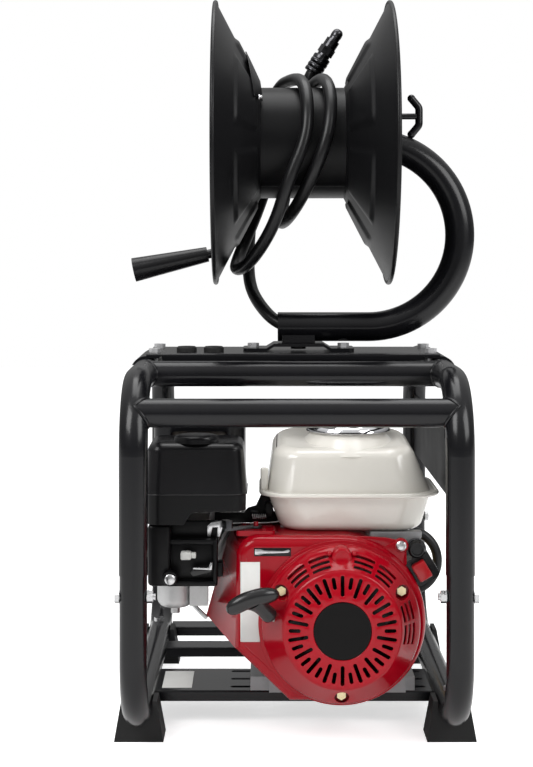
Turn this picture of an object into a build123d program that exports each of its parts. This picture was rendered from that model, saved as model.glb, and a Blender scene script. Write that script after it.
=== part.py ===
from build123d import *
from math import cos, pi, radians, sin, sqrt
import os

os.makedirs("parts", exist_ok=True)

# Gas pressure washer: a tube cage carries an engine, its pump and a swivelling hose reel.
# Millimetres. +Z is up, the starter faces -Y. Places are given from the cage's mid-plane
# (right is plus), from the front legs' middle (back is plus) and from the floor.

# Cage
hoop_gap = 372.8  # between the middles of the two side hoops
hoop_depth = 578.8  # between the middles of a hoop's front and rear legs
hoop_top = 431.0  # middle of the top runs above the floor
hoop_bottom = 39.0  # middle of the bottom runs above the floor
hoop_bend = 80.0  # to the tube's middle
upper_od = 33.4
lower_od = 31.8
run_seam = 283.0  # where the bottom runs are butted
tube_wall = 2.0
joint_z = 215.0  # where the upper hoops sit on the lower ones
collar_height = 4.0
spigot_length = 45.0
spigot_gap = 0.15
weld_gap = 0.1
hoop_bolt_z = 190.0
bar_drop = 33.0  # front crossbar below the top runs
top_bar_depth = 178.0  # front top crossbar behind the front legs

# Fasteners
m8 = 8.0
m8_across_flats = 13.0
m8_head = 5.3
m8_nut = 6.5
hole_gap = 0.2  # radial, round a bolt
seat_gap = 0.05  # between a bolt head and what it clamps

# Base
sheet = 3.0
lip_height = 13.0
base_top = 41.0
plate_front = 159.0
plate_depth = 110.0
channel_mid = 383.0
channel_rear = 507.0
channel_depth = 40.0
foot_width = 59.0
foot_length = 52.0
foot_top_width = 43.0
foot_top_length = 40.0
foot_height = 47.0
foot_front = 108.0
foot_rear = 483.0
foot_bolt_depth = 27.0  # below the bottom run's middle

# Side panel between the right legs
panel_low = 287.0
panel_high = 372.0

# Top plate
top_plate_depth = 156.0
top_plate_lip = 8.0
saddle_sweep = 62.0  # degrees from the crown, outwards
plate_bolt_in = 9.5  # from the hoop's middle
plate_bolt_spread = 104.0
plate_bolt_length = 20.0
grommet_places = (-137.0, -102.0)
grommet_forward = 33.0  # of the plate's middle
grommet_od = 26.0
grommet_neck = 18.0
grommet_bore = 12.2
grommet_proud = 7.0
grommet_under = 4.0

# Reel bracket on the plate
swivel_x = 8.0
bracket_length = 144.0
bracket_width = 64.0
bracket_sheet = 4.0
bracket_rise = 10.0
bracket_crown = 64.0
bracket_slope = 10.0
bracket_bolt_spread = 118.0
pivot_od = 10.0
pivot_head_od = 20.0
pivot_head = 4.0
running_gap = 0.05
turn_gap = 0.2

# Reel arm
arm_od = 38.1
arm_wall = 3.0
arm_low = 484.5  # middle of the bottom run
axle_z = 725.5
arm_bend_x = 99.5
arm_end_x = -19.0
bush_length = 12.0  # in the arm's open end, round the hose
arm_hub_x = 79.0  # the arm's upper end, inside the right flange
block_width = 43.0
block_length = 46.0
block_wrap = 9.0  # how far the block reaches up round the arm
axle_od = 25.4

# Reel
reel_x = 13.0
drum_length = 109.2
drum_od = 145.0
drum_wall = 2.0
flange_od = 372.0
flange_flare = 57.5  # rim beyond the drum's end
flange_sheet = 1.8
rim_roll = 3.0
emboss_inner = 92.0
emboss_outer = 138.0
emboss_height = 3.6
emboss_count = 4
emboss_sweep = 58.0
hub_od = 46.0
hub_plate = 4.8
hub_length = 22.0
crank_rod = 12.0
crank_throw = 146.0
grip_tilt = 12.0
grip_length = 99.0
grip_root = 19.7
grip_end = 31.6
crank_start = 8.0  # beyond the drum's end
grip_start_x = 124.0  # left of the drum's middle, where the grip begins

# Reel lock
lock_rise = 35.0
lock_od = 8.0
lock_x = 108.0
lock_plate = 6.0
lock_reach = 58.5
lock_bar_od = 10.0
lock_bar = 57.0
lock_tip_gap = 0.4

# Engine
engine_x = 53.0
crank_height = 106.0
foot_spread = 162.0
foot_pitch = 75.5
foot_rows = 178.0  # front row of engine bolts
slot_length = 60.0
slot_width = 9.0
case_front = 150.0
case_back = 290.0
case_half = 84.0
case_rise = 70.0
case_foot = 17.0
case_foot_left = 107.0
case_foot_right = 96.0
shaft_od = 25.0
cylinder_lean = 25.0
cylinder_start = 74.0
cylinder_end = 168.0
cylinder_width = 96.0
fin_count = 9
fin_thick = 3.0
fin_out = 9.0
head_length = 34.0
cover_length = 26.0

# Fan cover and recoil starter
cowl_front = 62.0
cowl_wall = 2.0
cowl_radius = 101.0
cowl_left = 121.0
cowl_low = 94.0
cowl_flare = 40.0
cowl_lift = 24.0  # of the flared corner, towards the back
cowl_edge = 12.0
cowl_mouth = 78.0
recoil_face = 15.0
recoil_radius = 93.0
recoil_wall = 2.2
badge_radius = 33.0
badge_thick = 1.5
slot_ring_inner = 39.5
slot_ring_outer = 64.5
slot_pairs = 18
recoil_slot = 4.4
shoulder_radius = 71.0
recoil_bolt_circle = 162.0
pulley_radius = 36.0
rope_od = 4.5
flywheel_radius = 74.0
blade_count = 12
grip_bar = 60.0
grip_bar_od = 19.0

# Tank
tank_x = 66.6
tank_front = 85.0
tank_depth = 160.0
tank_low = 248.0
tank_seam = 293.0
tank_high = 361.0  # top of the mound under the cap
tank_brow = 346.0  # top face at the front
tank_crest = 362.0  # top face at the back
tank_wall = 2.0
seam_width = 8.0
seam_thick = 4.0
mound_od = 138.0
mound_rise = 24.0
cap_od = 84.0
cap_height = 20.0
neck_od = 66.0
neck_rise = 6.0

# Air cleaner and carburettor
cleaner_left = -178.0
cleaner_right = -58.0
cleaner_front = 62.0
cleaner_depth = 110.0
cleaner_gap = 29.0  # above the fan cover's top
cleaner_case_rise = 20.0
cleaner_cover_rise = 60.0
shell_wall = 2.5
control_left = -175.0
control_right = -88.0
control_low = 188.0
control_front = 72.0
lever_od = 9.0

# Muffler
muffler_left = -172.0
muffler_right = -66.0
muffler_front = 202.0
muffler_depth = 126.0
muffler_low = 290.0
muffler_high = 366.0
guard_gap = 5.0
guard_sheet = 1.5

# Pump
pump_flange = 10.0
pump_flange_od = 150.0
pump_depth = 112.0
pump_left = 56.0
pump_right = 52.0
pump_half = 50.0
manifold_width = 34.0
manifold_half = 44.0
port_od = 22.0
bypass_od = 13.0
bypass_radius = 41.0
inlet_od = 26.5
outlet_od = 22.0
knob_od = 36.0

# Jumper hose
hose_od = 16.5

# Where the cage stands, so that the whole part is centred on the origin
arm_bend = (axle_z - arm_low) / 2
foot_reach = hoop_gap / 2 + foot_width / 2
arm_reach = arm_bend_x + arm_bend + arm_od / 2
cage_x = (foot_reach - arm_reach) / 2
crown_z = hoop_top + upper_od / 2
plate_low = crown_z + weld_gap + sheet
plate_top = plate_low + sheet
plate_mid = hoop_depth / 2
crank_z = base_top + crank_height
cleaner_low = crank_z + cowl_radius + cleaner_gap
cleaner_seam = cleaner_low + cleaner_case_rise
cleaner_high = cleaner_seam + cleaner_cover_rise
reel_mid = hoop_depth / 2


def place(x, depth, z):
    """A point from the cage's mid-plane, the front legs and the floor."""
    return Vector(cage_x + x, depth - hoop_depth / 2, z)


def facing(depth):
    """The upright plane at a depth, seen from the front: its X is right and its Y is up."""
    return Plane.XZ.offset(hoop_depth / 2 - depth)


def across(x):
    """The upright plane at a width, seen from the right: its X is back and its Y is up."""
    return Plane.YZ.offset(cage_x + x)


def level(z):
    """The level plane at a height."""
    return Plane.XY.offset(z)


def hoop_legs(x):
    """The front and rear leg middles of the hoop at x, as plan points."""
    front = place(x, 0, 0)
    rear = place(x, hoop_depth, 0)
    return [(front.X, front.Y), (rear.X, rear.Y)]


def hoop_points(x, run_z):
    """The corners of a half hoop that starts and ends at the joint."""
    return [
        place(x, 0, joint_z),
        place(x, 0, run_z),
        place(x, hoop_depth, run_z),
        place(x, hoop_depth, joint_z),
    ]


def swept_tube(points, bend, od, bore):
    """A bent tube through the points, solid where bore is none."""
    with BuildPart() as tube:
        with BuildLine() as path:
            FilletPolyline(*points, radius=bend)
        with BuildSketch(Plane(origin=path.line @ 0, z_dir=path.line % 0)):
            Circle(od / 2)
            if bore:
                Circle(bore / 2, mode=Mode.SUBTRACT)
        sweep()
    return tube.part


def hex_bolt(seat, od, length, across_flats, head):
    """A hexagon bolt whose head stands on the plane seat, with its shank below."""
    with BuildPart() as bolt:
        with BuildSketch(seat.offset(seat_gap)):
            RegularPolygon(across_flats / 2, 6, major_radius=False)
        extrude(amount=head)
        with BuildSketch(seat.offset(seat_gap)):
            Circle(od / 2)
        extrude(amount=-length - seat_gap)
    return bolt.part


def write(part, name):
    """Name a finished piece and write it to its own file."""
    part.label = name
    export_step(part, f"parts/{name}.step")


# Lower hoops: a U of tube that stands on the feet
half_gap = hoop_gap / 2
foot_places = (foot_front, foot_rear)
foot_hole = m8 / 2 + hole_gap
for side, x in (("left", -half_gap), ("right", half_gap)):
    with BuildPart() as lower_hoop:
        add(swept_tube(hoop_points(x, hoop_bottom), hoop_bend, lower_od, lower_od - 2 * tube_wall))
        with Locations(*[(px, py, hoop_bolt_z) for px, py in hoop_legs(x)]):
            Cylinder(foot_hole, 2 * lower_od, rotation=(0, 90, 0), mode=Mode.SUBTRACT)
        with Locations(*[place(x, depth, hoop_bottom) for depth in foot_places]):
            Cylinder(foot_hole, 2 * lower_od, mode=Mode.SUBTRACT)
        with Locations(place(x, run_seam, hoop_bottom)):
            Box(2 * lower_od, weld_gap, 2 * lower_od, mode=Mode.SUBTRACT)
    write(lower_hoop.part, f"lower_hoop_{side}")

# Upper hoops: an arch of tube with a spigot in each lower leg
spigot_od = lower_od - 2 * tube_wall - 2 * spigot_gap
upper_bore = upper_od - 2 * tube_wall
spigot_bore = spigot_od - 2 * tube_wall
plate_bolt_x = half_gap - plate_bolt_in
plate_bolt_depths = (plate_mid - plate_bolt_spread / 2, plate_mid + plate_bolt_spread / 2)
for side, x in (("left", -half_gap), ("right", half_gap)):
    bolt_x = plate_bolt_x if x > 0 else -plate_bolt_x
    with BuildPart() as upper_hoop:
        add(swept_tube(hoop_points(x, hoop_top), hoop_bend, upper_od, upper_bore))
        with BuildSketch(level(joint_z)):
            with Locations(*hoop_legs(x)):
                Circle(upper_od / 2)
                Circle(spigot_bore / 2, mode=Mode.SUBTRACT)
        extrude(amount=collar_height)
        with BuildSketch(level(joint_z)):
            with Locations(*hoop_legs(x)):
                Circle(spigot_od / 2)
                Circle(spigot_bore / 2, mode=Mode.SUBTRACT)
        extrude(amount=-spigot_length)
        with Locations(*[(px, py, hoop_bolt_z) for px, py in hoop_legs(x)]):
            Cylinder(foot_hole, 2 * upper_od, rotation=(0, 90, 0), mode=Mode.SUBTRACT)
        with Locations(*[place(bolt_x, depth, hoop_top + upper_od / 2) for depth in plate_bolt_depths]):
            Cylinder(foot_hole, upper_od, mode=Mode.SUBTRACT)
    write(upper_hoop.part, f"upper_hoop_{side}")

# Bolts and nuts through the hoop joints, and bolts down into the feet
with BuildPart() as frame_bolts:
    for x, outward in ((-half_gap, -1), (half_gap, 1)):
        for depth in (0, hoop_depth):
            seat = Plane(place(x + outward * lower_od / 2, depth, hoop_bolt_z), z_dir=(outward, 0, 0))
            add(hex_bolt(seat, m8, lower_od + m8_nut + 3, m8_across_flats, m8_head))
            nut_face = place(x - outward * (lower_od / 2 + seat_gap), depth, hoop_bolt_z)
            with BuildSketch(Plane(nut_face, z_dir=(-outward, 0, 0))):
                RegularPolygon(m8_across_flats / 2, 6, major_radius=False)
            extrude(amount=m8_nut)
        for depth in foot_places:
            seat = Plane(place(x, depth, hoop_bottom + lower_od / 2))
            add(hex_bolt(seat, m8, lower_od / 2 + foot_bolt_depth - 1, m8_across_flats, m8_head))
write(frame_bolts.part, "frame_bolts")

# Crossbars, coped to the hoops that they are welded to
weld_od = upper_od + 2 * weld_gap
envelopes = [swept_tube(hoop_points(x, hoop_top), hoop_bend, weld_od, 0) for x in (-half_gap, half_gap)]
bar_rise = hoop_bend - bar_drop
bar_depth = hoop_bend - sqrt(hoop_bend**2 - bar_rise**2)


def crossbar(od, spots):
    """Bars across the cage, with their ends coped to the side hoops."""
    with BuildPart() as bars:
        with BuildSketch(across(0)):
            with Locations(*[(depth - hoop_depth / 2, z) for depth, z in spots]):
                Circle(od / 2)
                Circle(od / 2 - tube_wall, mode=Mode.SUBTRACT)
        extrude(amount=half_gap, both=True)
        for envelope in envelopes:
            add(envelope, mode=Mode.SUBTRACT)
    return bars.part


write(crossbar(upper_od, [(bar_depth, hoop_top - bar_drop)]), "front_crossbar")
top_bar_spots = [(top_bar_depth, hoop_top), (hoop_depth - top_bar_depth, hoop_top)]
write(crossbar(lower_od, top_bar_spots), "top_crossbars")


# Engine plate and base channels between the bottom runs
def folded_channel(front, depth):
    """A channel across the base, open below, with a lip along both edges."""
    with BuildPart() as channel:
        with BuildSketch(across(0)):
            with Locations((front - hoop_depth / 2, base_top)):
                Rectangle(depth, lip_height, align=(Align.MIN, Align.MAX))
            with Locations((front + sheet - hoop_depth / 2, base_top - sheet)):
                Rectangle(depth - 2 * sheet, lip_height, align=(Align.MIN, Align.MAX), mode=Mode.SUBTRACT)
        extrude(amount=half_gap - lower_od / 2 - weld_gap, both=True)
        bends = channel.edges().filter_by(Axis.X).group_by(Axis.Z)[-1]
        fillet(bends, radius=sheet * 0.8)
    return channel.part


bolt_rows = (foot_rows, foot_rows + foot_pitch)
bolt_columns = (engine_x - foot_spread / 2, engine_x + foot_spread / 2)
with BuildPart() as engine_plate:
    add(folded_channel(plate_front, plate_depth))
    with BuildSketch(level(base_top)):
        for column, shift in zip(bolt_columns, (-1, 0)):
            for row in (*bolt_rows, foot_rows + foot_pitch / 2):
                spot = place(column + shift * (slot_length / 2 - slot_width), row, 0)
                with Locations((spot.X, spot.Y)):
                    SlotOverall(slot_length, slot_width)
    extrude(amount=-lip_height, mode=Mode.SUBTRACT)
write(engine_plate.part, "engine_plate")
with BuildPart() as base_channels:
    add(folded_channel(channel_mid, channel_depth))
    add(folded_channel(channel_rear, channel_depth))
write(base_channels.part, "base_channels")

# Rubber feet: tapered blocks that the bottom runs lie in
with BuildPart() as rubber_feet:
    for x in (-half_gap, half_gap):
        for depth in foot_places:
            middle = place(x, depth, 0)
            with BuildSketch(level(0)):
                with Locations((middle.X, middle.Y)):
                    Rectangle(foot_width, foot_length)
            with BuildSketch(level(foot_height)):
                with Locations((middle.X, middle.Y)):
                    Rectangle(foot_top_width, foot_top_length)
            loft()
    for x in (-half_gap, half_gap):
        middle = place(x, hoop_depth / 2, hoop_bottom)
        with Locations(middle):
            Cylinder(lower_od / 2 + weld_gap, hoop_depth, rotation=(90, 0, 0), mode=Mode.SUBTRACT)
        with Locations(middle + Vector(0, 0, lower_od / 2)):
            Box(lower_od + 2 * weld_gap, hoop_depth, lower_od, mode=Mode.SUBTRACT)
        with Locations(*[place(x, depth, hoop_bottom - foot_bolt_depth) for depth in foot_places]):
            Cylinder(foot_hole, lower_od, align=(Align.CENTER, Align.CENTER, Align.MIN), mode=Mode.SUBTRACT)
write(rubber_feet.part, "rubber_feet")


# Side panel welded between the right legs
panel_lower_half = hoop_depth / 2 - upper_od / 2 - weld_gap
with BuildPart() as side_panel:
    with BuildSketch(across(half_gap - sheet / 2)):
        with Locations((0, panel_low)):
            Rectangle(2 * panel_lower_half, panel_high - panel_low, align=(Align.CENTER, Align.MIN))
    extrude(amount=sheet)
    with BuildSketch(across(half_gap - sheet / 2)):
        with Locations((0, panel_high)):
            Rectangle(2 * panel_lower_half - 2 * hoop_bend, 4 * sheet, align=(Align.CENTER, Align.MAX))
    extrude(amount=-2 * sheet)
    add(envelopes[1], mode=Mode.SUBTRACT)
write(side_panel.part, "side_panel")

# Top plate with its welded saddle strips, then its bolts and nozzle grommets
plate_back = plate_mid + top_plate_depth / 2
plate_start = plate_mid - top_plate_depth / 2
grommet_depth = plate_mid - grommet_forward
with BuildPart() as top_plate:
    with BuildSketch(across(0)):
        with Locations((-top_plate_depth / 2, plate_top)):
            Rectangle(top_plate_depth, top_plate_lip, align=(Align.MIN, Align.MAX))
        with Locations((sheet - top_plate_depth / 2, plate_low)):
            inside = top_plate_depth - 2 * sheet
            Rectangle(inside, top_plate_lip, align=(Align.MIN, Align.MAX), mode=Mode.SUBTRACT)
    extrude(amount=half_gap - upper_od / 2 - sheet - weld_gap, both=True)
    with BuildSketch(level(plate_low)):
        with Locations((cage_x, 0)):
            Rectangle(hoop_gap, top_plate_depth)
    extrude(amount=sheet)
    fillet(top_plate.edges().filter_by(Axis.X).group_by(Axis.Z)[-1], radius=sheet * 0.8)
    with Locations(*[place(s * plate_bolt_x, d, plate_top) for s in (-1, 1) for d in plate_bolt_depths]):
        Cylinder(foot_hole, 4 * sheet, mode=Mode.SUBTRACT)
    with Locations(*[place(x, grommet_depth, plate_top) for x in grommet_places]):
        Cylinder(grommet_neck / 2 + weld_gap, 4 * sheet, mode=Mode.SUBTRACT)
    with Locations(*[place(swivel_x + s * bracket_bolt_spread / 2, plate_mid, plate_top) for s in (-1, 1)]):
        Cylinder(foot_hole, 4 * sheet, mode=Mode.SUBTRACT)

    saddle_inner = upper_od / 2 + weld_gap
    for outward in (-1, 1):
        with BuildSketch(facing(plate_start)):
            with Locations((cage_x + outward * half_gap, hoop_top)):
                Circle(saddle_inner + sheet)
                Circle(saddle_inner, mode=Mode.SUBTRACT)
                with Locations((-outward * upper_od, 0)):
                    Rectangle(2 * upper_od, 4 * upper_od, mode=Mode.SUBTRACT)
                with Locations((0, -upper_od)):
                    Rectangle(4 * upper_od, 2 * upper_od + saddle_inner, mode=Mode.SUBTRACT)
                flat = plate_bolt_in + m8_across_flats / 2
                with Locations((-outward * flat / 2, saddle_inner + sheet / 2)):
                    Rectangle(flat, sheet)
        extrude(amount=-top_plate_depth)
    with Locations(*[place(s * plate_bolt_x, d, plate_low) for s in (-1, 1) for d in plate_bolt_depths]):
        Cylinder(foot_hole, 4 * sheet, mode=Mode.SUBTRACT)
write(top_plate.part, "top_plate")


with BuildPart() as nozzle_grommets:
    for x in grommet_places:
        middle = place(x, grommet_depth, 0)
        rings = (
            (plate_low - grommet_under, grommet_under - seat_gap, grommet_od),
            (plate_low - grommet_under, grommet_under + sheet + grommet_proud, grommet_neck),
            (plate_top + seat_gap, grommet_proud - seat_gap, grommet_od),
        )
        for z, height, od in rings:
            with BuildSketch(level(z)):
                with Locations((middle.X, middle.Y)):
                    Circle(od / 2)
            extrude(amount=height)
        with Locations((middle.X, middle.Y, plate_low)):
            Cylinder(grommet_bore / 2, 4 * grommet_od, mode=Mode.SUBTRACT)
    top_rims = nozzle_grommets.edges().group_by(Axis.Z)[-1].filter_by(GeomType.CIRCLE)
    chamfer(top_rims.sort_by(SortBy.LENGTH)[2:], 2)
write(nozzle_grommets.part, "nozzle_grommets")

# Reel bracket: a strip with a raised crown that the arm swivels on
crown_top = plate_top + bracket_rise
half_crown = bracket_crown / 2
strip_profile = [
    (-bracket_length / 2, 0),
    (-half_crown - bracket_slope, 0),
    (-half_crown, bracket_rise - bracket_sheet),
    (half_crown, bracket_rise - bracket_sheet),
    (half_crown + bracket_slope, 0),
    (bracket_length / 2, 0),
    (bracket_length / 2, bracket_sheet),
    (half_crown + bracket_slope, bracket_sheet),
    (half_crown, bracket_rise),
    (-half_crown, bracket_rise),
    (-half_crown - bracket_slope, bracket_sheet),
    (-bracket_length / 2, bracket_sheet),
]
with BuildPart() as reel_bracket:
    with BuildSketch(facing(plate_mid)):
        with Locations((cage_x + swivel_x, plate_top + seat_gap)):
            Polygon(*strip_profile, align=None)
    extrude(amount=bracket_width / 2, both=True)
    fillet(reel_bracket.edges().filter_by(Axis.Z), radius=8)
    with Locations(place(swivel_x, plate_mid, plate_top)):
        Cylinder(pivot_od / 2 + running_gap, 4 * bracket_rise, mode=Mode.SUBTRACT)
    with Locations(*[place(swivel_x + s * bracket_bolt_spread / 2, plate_mid, plate_top) for s in (-1, 1)]):
        Cylinder(foot_hole, 4 * bracket_rise, mode=Mode.SUBTRACT)
write(reel_bracket.part, "reel_bracket")

ear_top = plate_top + bracket_sheet + seat_gap
with BuildPart() as plate_bolts:
    for outward in (-1, 1):
        for depth in plate_bolt_depths:
            seat = Plane(place(outward * plate_bolt_x, depth, plate_top))
            add(hex_bolt(seat, m8, plate_bolt_length, m8_across_flats, m8_head))
        seat = Plane(place(swivel_x + outward * bracket_bolt_spread / 2, plate_mid, ear_top))
        add(hex_bolt(seat, m8, bracket_sheet + sheet + m8_nut, m8_across_flats, m8_head))
write(plate_bolts.part, "plate_bolts")

# Reel arm: a C of tube from the saddle block up to the axle, with the lock's plate and nut welded on
arm_bore = arm_od - 2 * arm_wall
lock_z = axle_z + lock_rise
arm_points = [
    place(arm_end_x, reel_mid, arm_low),
    place(arm_bend_x, reel_mid, arm_low),
    place(arm_bend_x, reel_mid, axle_z),
    place(arm_hub_x, reel_mid, axle_z),
]
mouth_dir = Vector(-92, 26, 29).normalized()
hose_mouth = place(arm_end_x - 2, reel_mid + 3, arm_low + 5)
with BuildPart() as reel_arm:
    with BuildLine() as arm_path:
        foot_run = Line(arm_points[0], arm_points[1])
        bow = ThreePointArc(
            arm_points[1],
            place(arm_bend_x + arm_bend, reel_mid, arm_low + arm_bend),
            arm_points[2],
        )
        Line(arm_points[2], arm_points[3])
    with BuildSketch(Plane(arm_points[0], z_dir=(1, 0, 0))):
        Circle(arm_od / 2)
        Circle(arm_bore / 2, mode=Mode.SUBTRACT)
    sweep()
    with BuildSketch(Plane(arm_points[0], z_dir=(1, 0, 0))):
        Circle(arm_od / 2 - arm_wall / 2)
    extrude(amount=bush_length)
    with BuildSketch(Plane(hose_mouth, z_dir=mouth_dir)):
        Circle(hose_od / 2 + weld_gap)
    extrude(amount=2 * bush_length, both=True, mode=Mode.SUBTRACT)

    with BuildSketch(across(lock_x)):
        with Locations((0, axle_z)):
            Rectangle(arm_od - 4, lock_rise + 13, align=(Align.CENTER, Align.MIN))
            Circle(arm_od / 2 - arm_wall / 2, mode=Mode.SUBTRACT)
        with Locations((0, lock_z)):
            Circle(lock_od / 2 + running_gap, mode=Mode.SUBTRACT)
    extrude(amount=lock_plate)
    with BuildSketch(across(lock_x + lock_plate)):
        with Locations((0, lock_z)):
            RegularPolygon(m8_across_flats / 2, 6, major_radius=False)
            Circle(lock_od / 2 + running_gap, mode=Mode.SUBTRACT)
    extrude(amount=m8_nut)
write(reel_arm.part, "reel_arm")

block_low = crown_top + seat_gap + turn_gap
with BuildPart() as arm_block:
    with BuildSketch(level(block_low)):
        spot = place(swivel_x, reel_mid, 0)
        with Locations((spot.X, spot.Y)):
            Rectangle(block_width, block_length)
    extrude(amount=arm_low - arm_od / 2 + block_wrap - block_low)
    fillet(arm_block.edges().filter_by(Axis.Z), radius=3)
    with Locations(place(swivel_x, reel_mid, arm_low)):
        Cylinder(arm_od / 2 + weld_gap, 2 * block_width, rotation=(0, 90, 0), mode=Mode.SUBTRACT)
    with BuildSketch(level(block_low)):
        with Locations((spot.X, spot.Y)):
            Circle(pivot_od / 2)
    extrude(amount=-(bracket_sheet + 2 * turn_gap))
    with BuildSketch(level(block_low - bracket_sheet - 2 * turn_gap)):
        with Locations((spot.X, spot.Y)):
            Circle(pivot_head_od / 2)
    extrude(amount=-pivot_head)
write(arm_block.part, "arm_block")

# Axle: pressed into the arm's upper end, it carries the reel
drum_right = reel_x + drum_length / 2
drum_left = reel_x - drum_length / 2
axle_left = drum_left - crank_start
with BuildPart() as reel_axle:
    with BuildSketch(across(axle_left)):
        with Locations((0, axle_z)):
            Circle(axle_od / 2)
    extrude(amount=arm_hub_x - axle_left + 1)
    with BuildSketch(across(arm_hub_x + 1)):
        with Locations((0, axle_z)):
            Circle(arm_bore / 2 - weld_gap)
    extrude(amount=arm_bend_x - arm_hub_x - 2)
    with BuildSketch(across(drum_right + seat_gap + hub_plate + turn_gap)):
        with Locations((0, axle_z)):
            Circle(axle_od / 2 + 5)
    extrude(amount=4)
write(reel_axle.part, "reel_axle")

# Drum
with BuildPart() as reel_drum:
    with BuildSketch(across(drum_left)):
        with Locations((0, axle_z)):
            Circle(drum_od / 2)
            Circle(drum_od / 2 - drum_wall, mode=Mode.SUBTRACT)
    extrude(amount=drum_length)
write(reel_drum.part, "reel_drum")


# Flanges: pressed dishes with a rolled rim, embossed panels and a hub
def dish_face(lift):
    """The dish's section from its hub to its rim, moved outwards by lift."""
    foot = drum_od / 2
    start = drum_length / 2 + lift
    return [
        (start, hub_od / 2 - 4),
        (start, foot),
        (start + flange_flare, flange_od / 2 - rim_roll),
    ]


rim_x = drum_length / 2 + flange_flare + seat_gap + flange_sheet / 2
for side, outward in (("left", -1), ("right", 1)):
    axis_plane = Plane(place(reel_x, reel_mid, axle_z), x_dir=(outward, 0, 0), z_dir=(0, -outward, 0))
    spin = Axis(place(reel_x, reel_mid, axle_z), (1, 0, 0))
    with BuildPart() as flange:
        with BuildSketch(axis_plane):
            with BuildLine():
                inner = dish_face(seat_gap)
                outer = dish_face(seat_gap + flange_sheet)
                Polyline(*inner, *reversed(outer), close=True)
            make_face()
            with Locations((rim_x, flange_od / 2 - rim_roll)):
                Circle(rim_roll)
            with Locations((drum_length / 2 + seat_gap, axle_od / 2 + running_gap)):
                Rectangle(hub_plate, hub_od / 2 - axle_od / 2 - running_gap, align=(Align.MIN, Align.MIN))
        revolve(axis=spin)
        with BuildSketch(axis_plane):
            with BuildLine():
                slope = flange_flare / (flange_od / 2 - rim_roll - drum_od / 2)
                low = drum_length / 2 + seat_gap + slope * (emboss_inner - drum_od / 2)
                high = drum_length / 2 + seat_gap + slope * (emboss_outer - drum_od / 2)
                Polyline(
                    (low + flange_sheet / 2, emboss_inner),
                    (low + flange_sheet + emboss_height, emboss_inner + emboss_height),
                    (high + flange_sheet + emboss_height, emboss_outer - emboss_height),
                    (high + flange_sheet / 2, emboss_outer),
                    close=True,
                )
            make_face()
        panel = revolve(axis=spin, revolution_arc=emboss_sweep, mode=Mode.PRIVATE)
        for step in range(emboss_count):
            add(panel.rotate(spin, step * 360 / emboss_count + 16))
    write(flange.part, f"reel_flange_{side}")

# Crank: a bent rod from the left hub down inside the dish, then out to the grip
hub_face = drum_left - seat_gap - hub_plate
grip_x = reel_x - grip_start_x
grip_z = axle_z - crank_throw
lean = Vector(-cos(radians(grip_tilt)), 0, -sin(radians(grip_tilt)))
grip_root_point = place(grip_x, reel_mid, grip_z)
crank_hub = hub_face - hub_length / 2
rod_points = [
    place(crank_hub, reel_mid, axle_z),
    place(crank_hub, reel_mid, axle_z - 34),
    grip_root_point - lean * 19,
    grip_root_point + lean * (grip_length - 0.5),
]
with BuildPart() as crank:
    add(swept_tube(rod_points, [18, 14], crank_rod, 0))
    with BuildSketch(across(hub_face - seat_gap)):
        with Locations((0, axle_z)):
            Circle(hub_od / 2)
            Circle(axle_od / 2 + running_gap, mode=Mode.SUBTRACT)
    extrude(amount=-hub_length)
    with Locations(place(hub_face - hub_length / 2, reel_mid, axle_z)):
        Cylinder(axle_od / 2 + running_gap, 3 * hub_length, rotation=(0, 90, 0), mode=Mode.SUBTRACT)
    with BuildSketch(Plane(grip_root_point + lean * (grip_length - 4 + turn_gap), z_dir=lean)):
        Circle(crank_rod / 2 + 3)
    extrude(amount=3)
write(crank.part, "crank")

grip_plane = Plane(grip_root_point, z_dir=lean)
with BuildPart() as crank_grip:
    with BuildSketch(grip_plane):
        Circle(grip_root / 2)
    with BuildSketch(grip_plane.offset(grip_length)):
        Circle(grip_end / 2)
    loft()
    with BuildSketch(grip_plane):
        Circle(crank_rod / 2 + running_gap)
    extrude(amount=grip_length, mode=Mode.SUBTRACT)
    with BuildSketch(grip_plane.offset(grip_length - 4)):
        Circle(crank_rod / 2 + 4)
    extrude(amount=4, mode=Mode.SUBTRACT)
write(crank_grip.part, "crank_grip")

# Reel lock: a T screw in the arm's plate that presses on the right flange
lock_tip = drum_right + seat_gap + flange_sheet + lock_tip_gap
bar_x = lock_x + lock_reach
half_bar = lock_bar / 2 - lock_bar_od / 2
bar_points = [
    place(bar_x - 10, reel_mid, lock_z + half_bar),
    place(bar_x, reel_mid, lock_z + half_bar - 12),
    place(bar_x, reel_mid, lock_z - half_bar + 12),
    place(bar_x - 10, reel_mid, lock_z - half_bar),
]
with BuildPart() as lock_screw:
    with BuildSketch(across(lock_tip)):
        with Locations((0, lock_z)):
            Circle(lock_od / 2)
    extrude(amount=bar_x - lock_tip)
    with BuildSketch(across(lock_tip)):
        with Locations((0, lock_z)):
            Circle(lock_od / 2 + 3)
    extrude(amount=4)
    add(swept_tube(bar_points, 9, lock_bar_od, 0))
write(lock_screw.part, "lock_screw")

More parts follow.
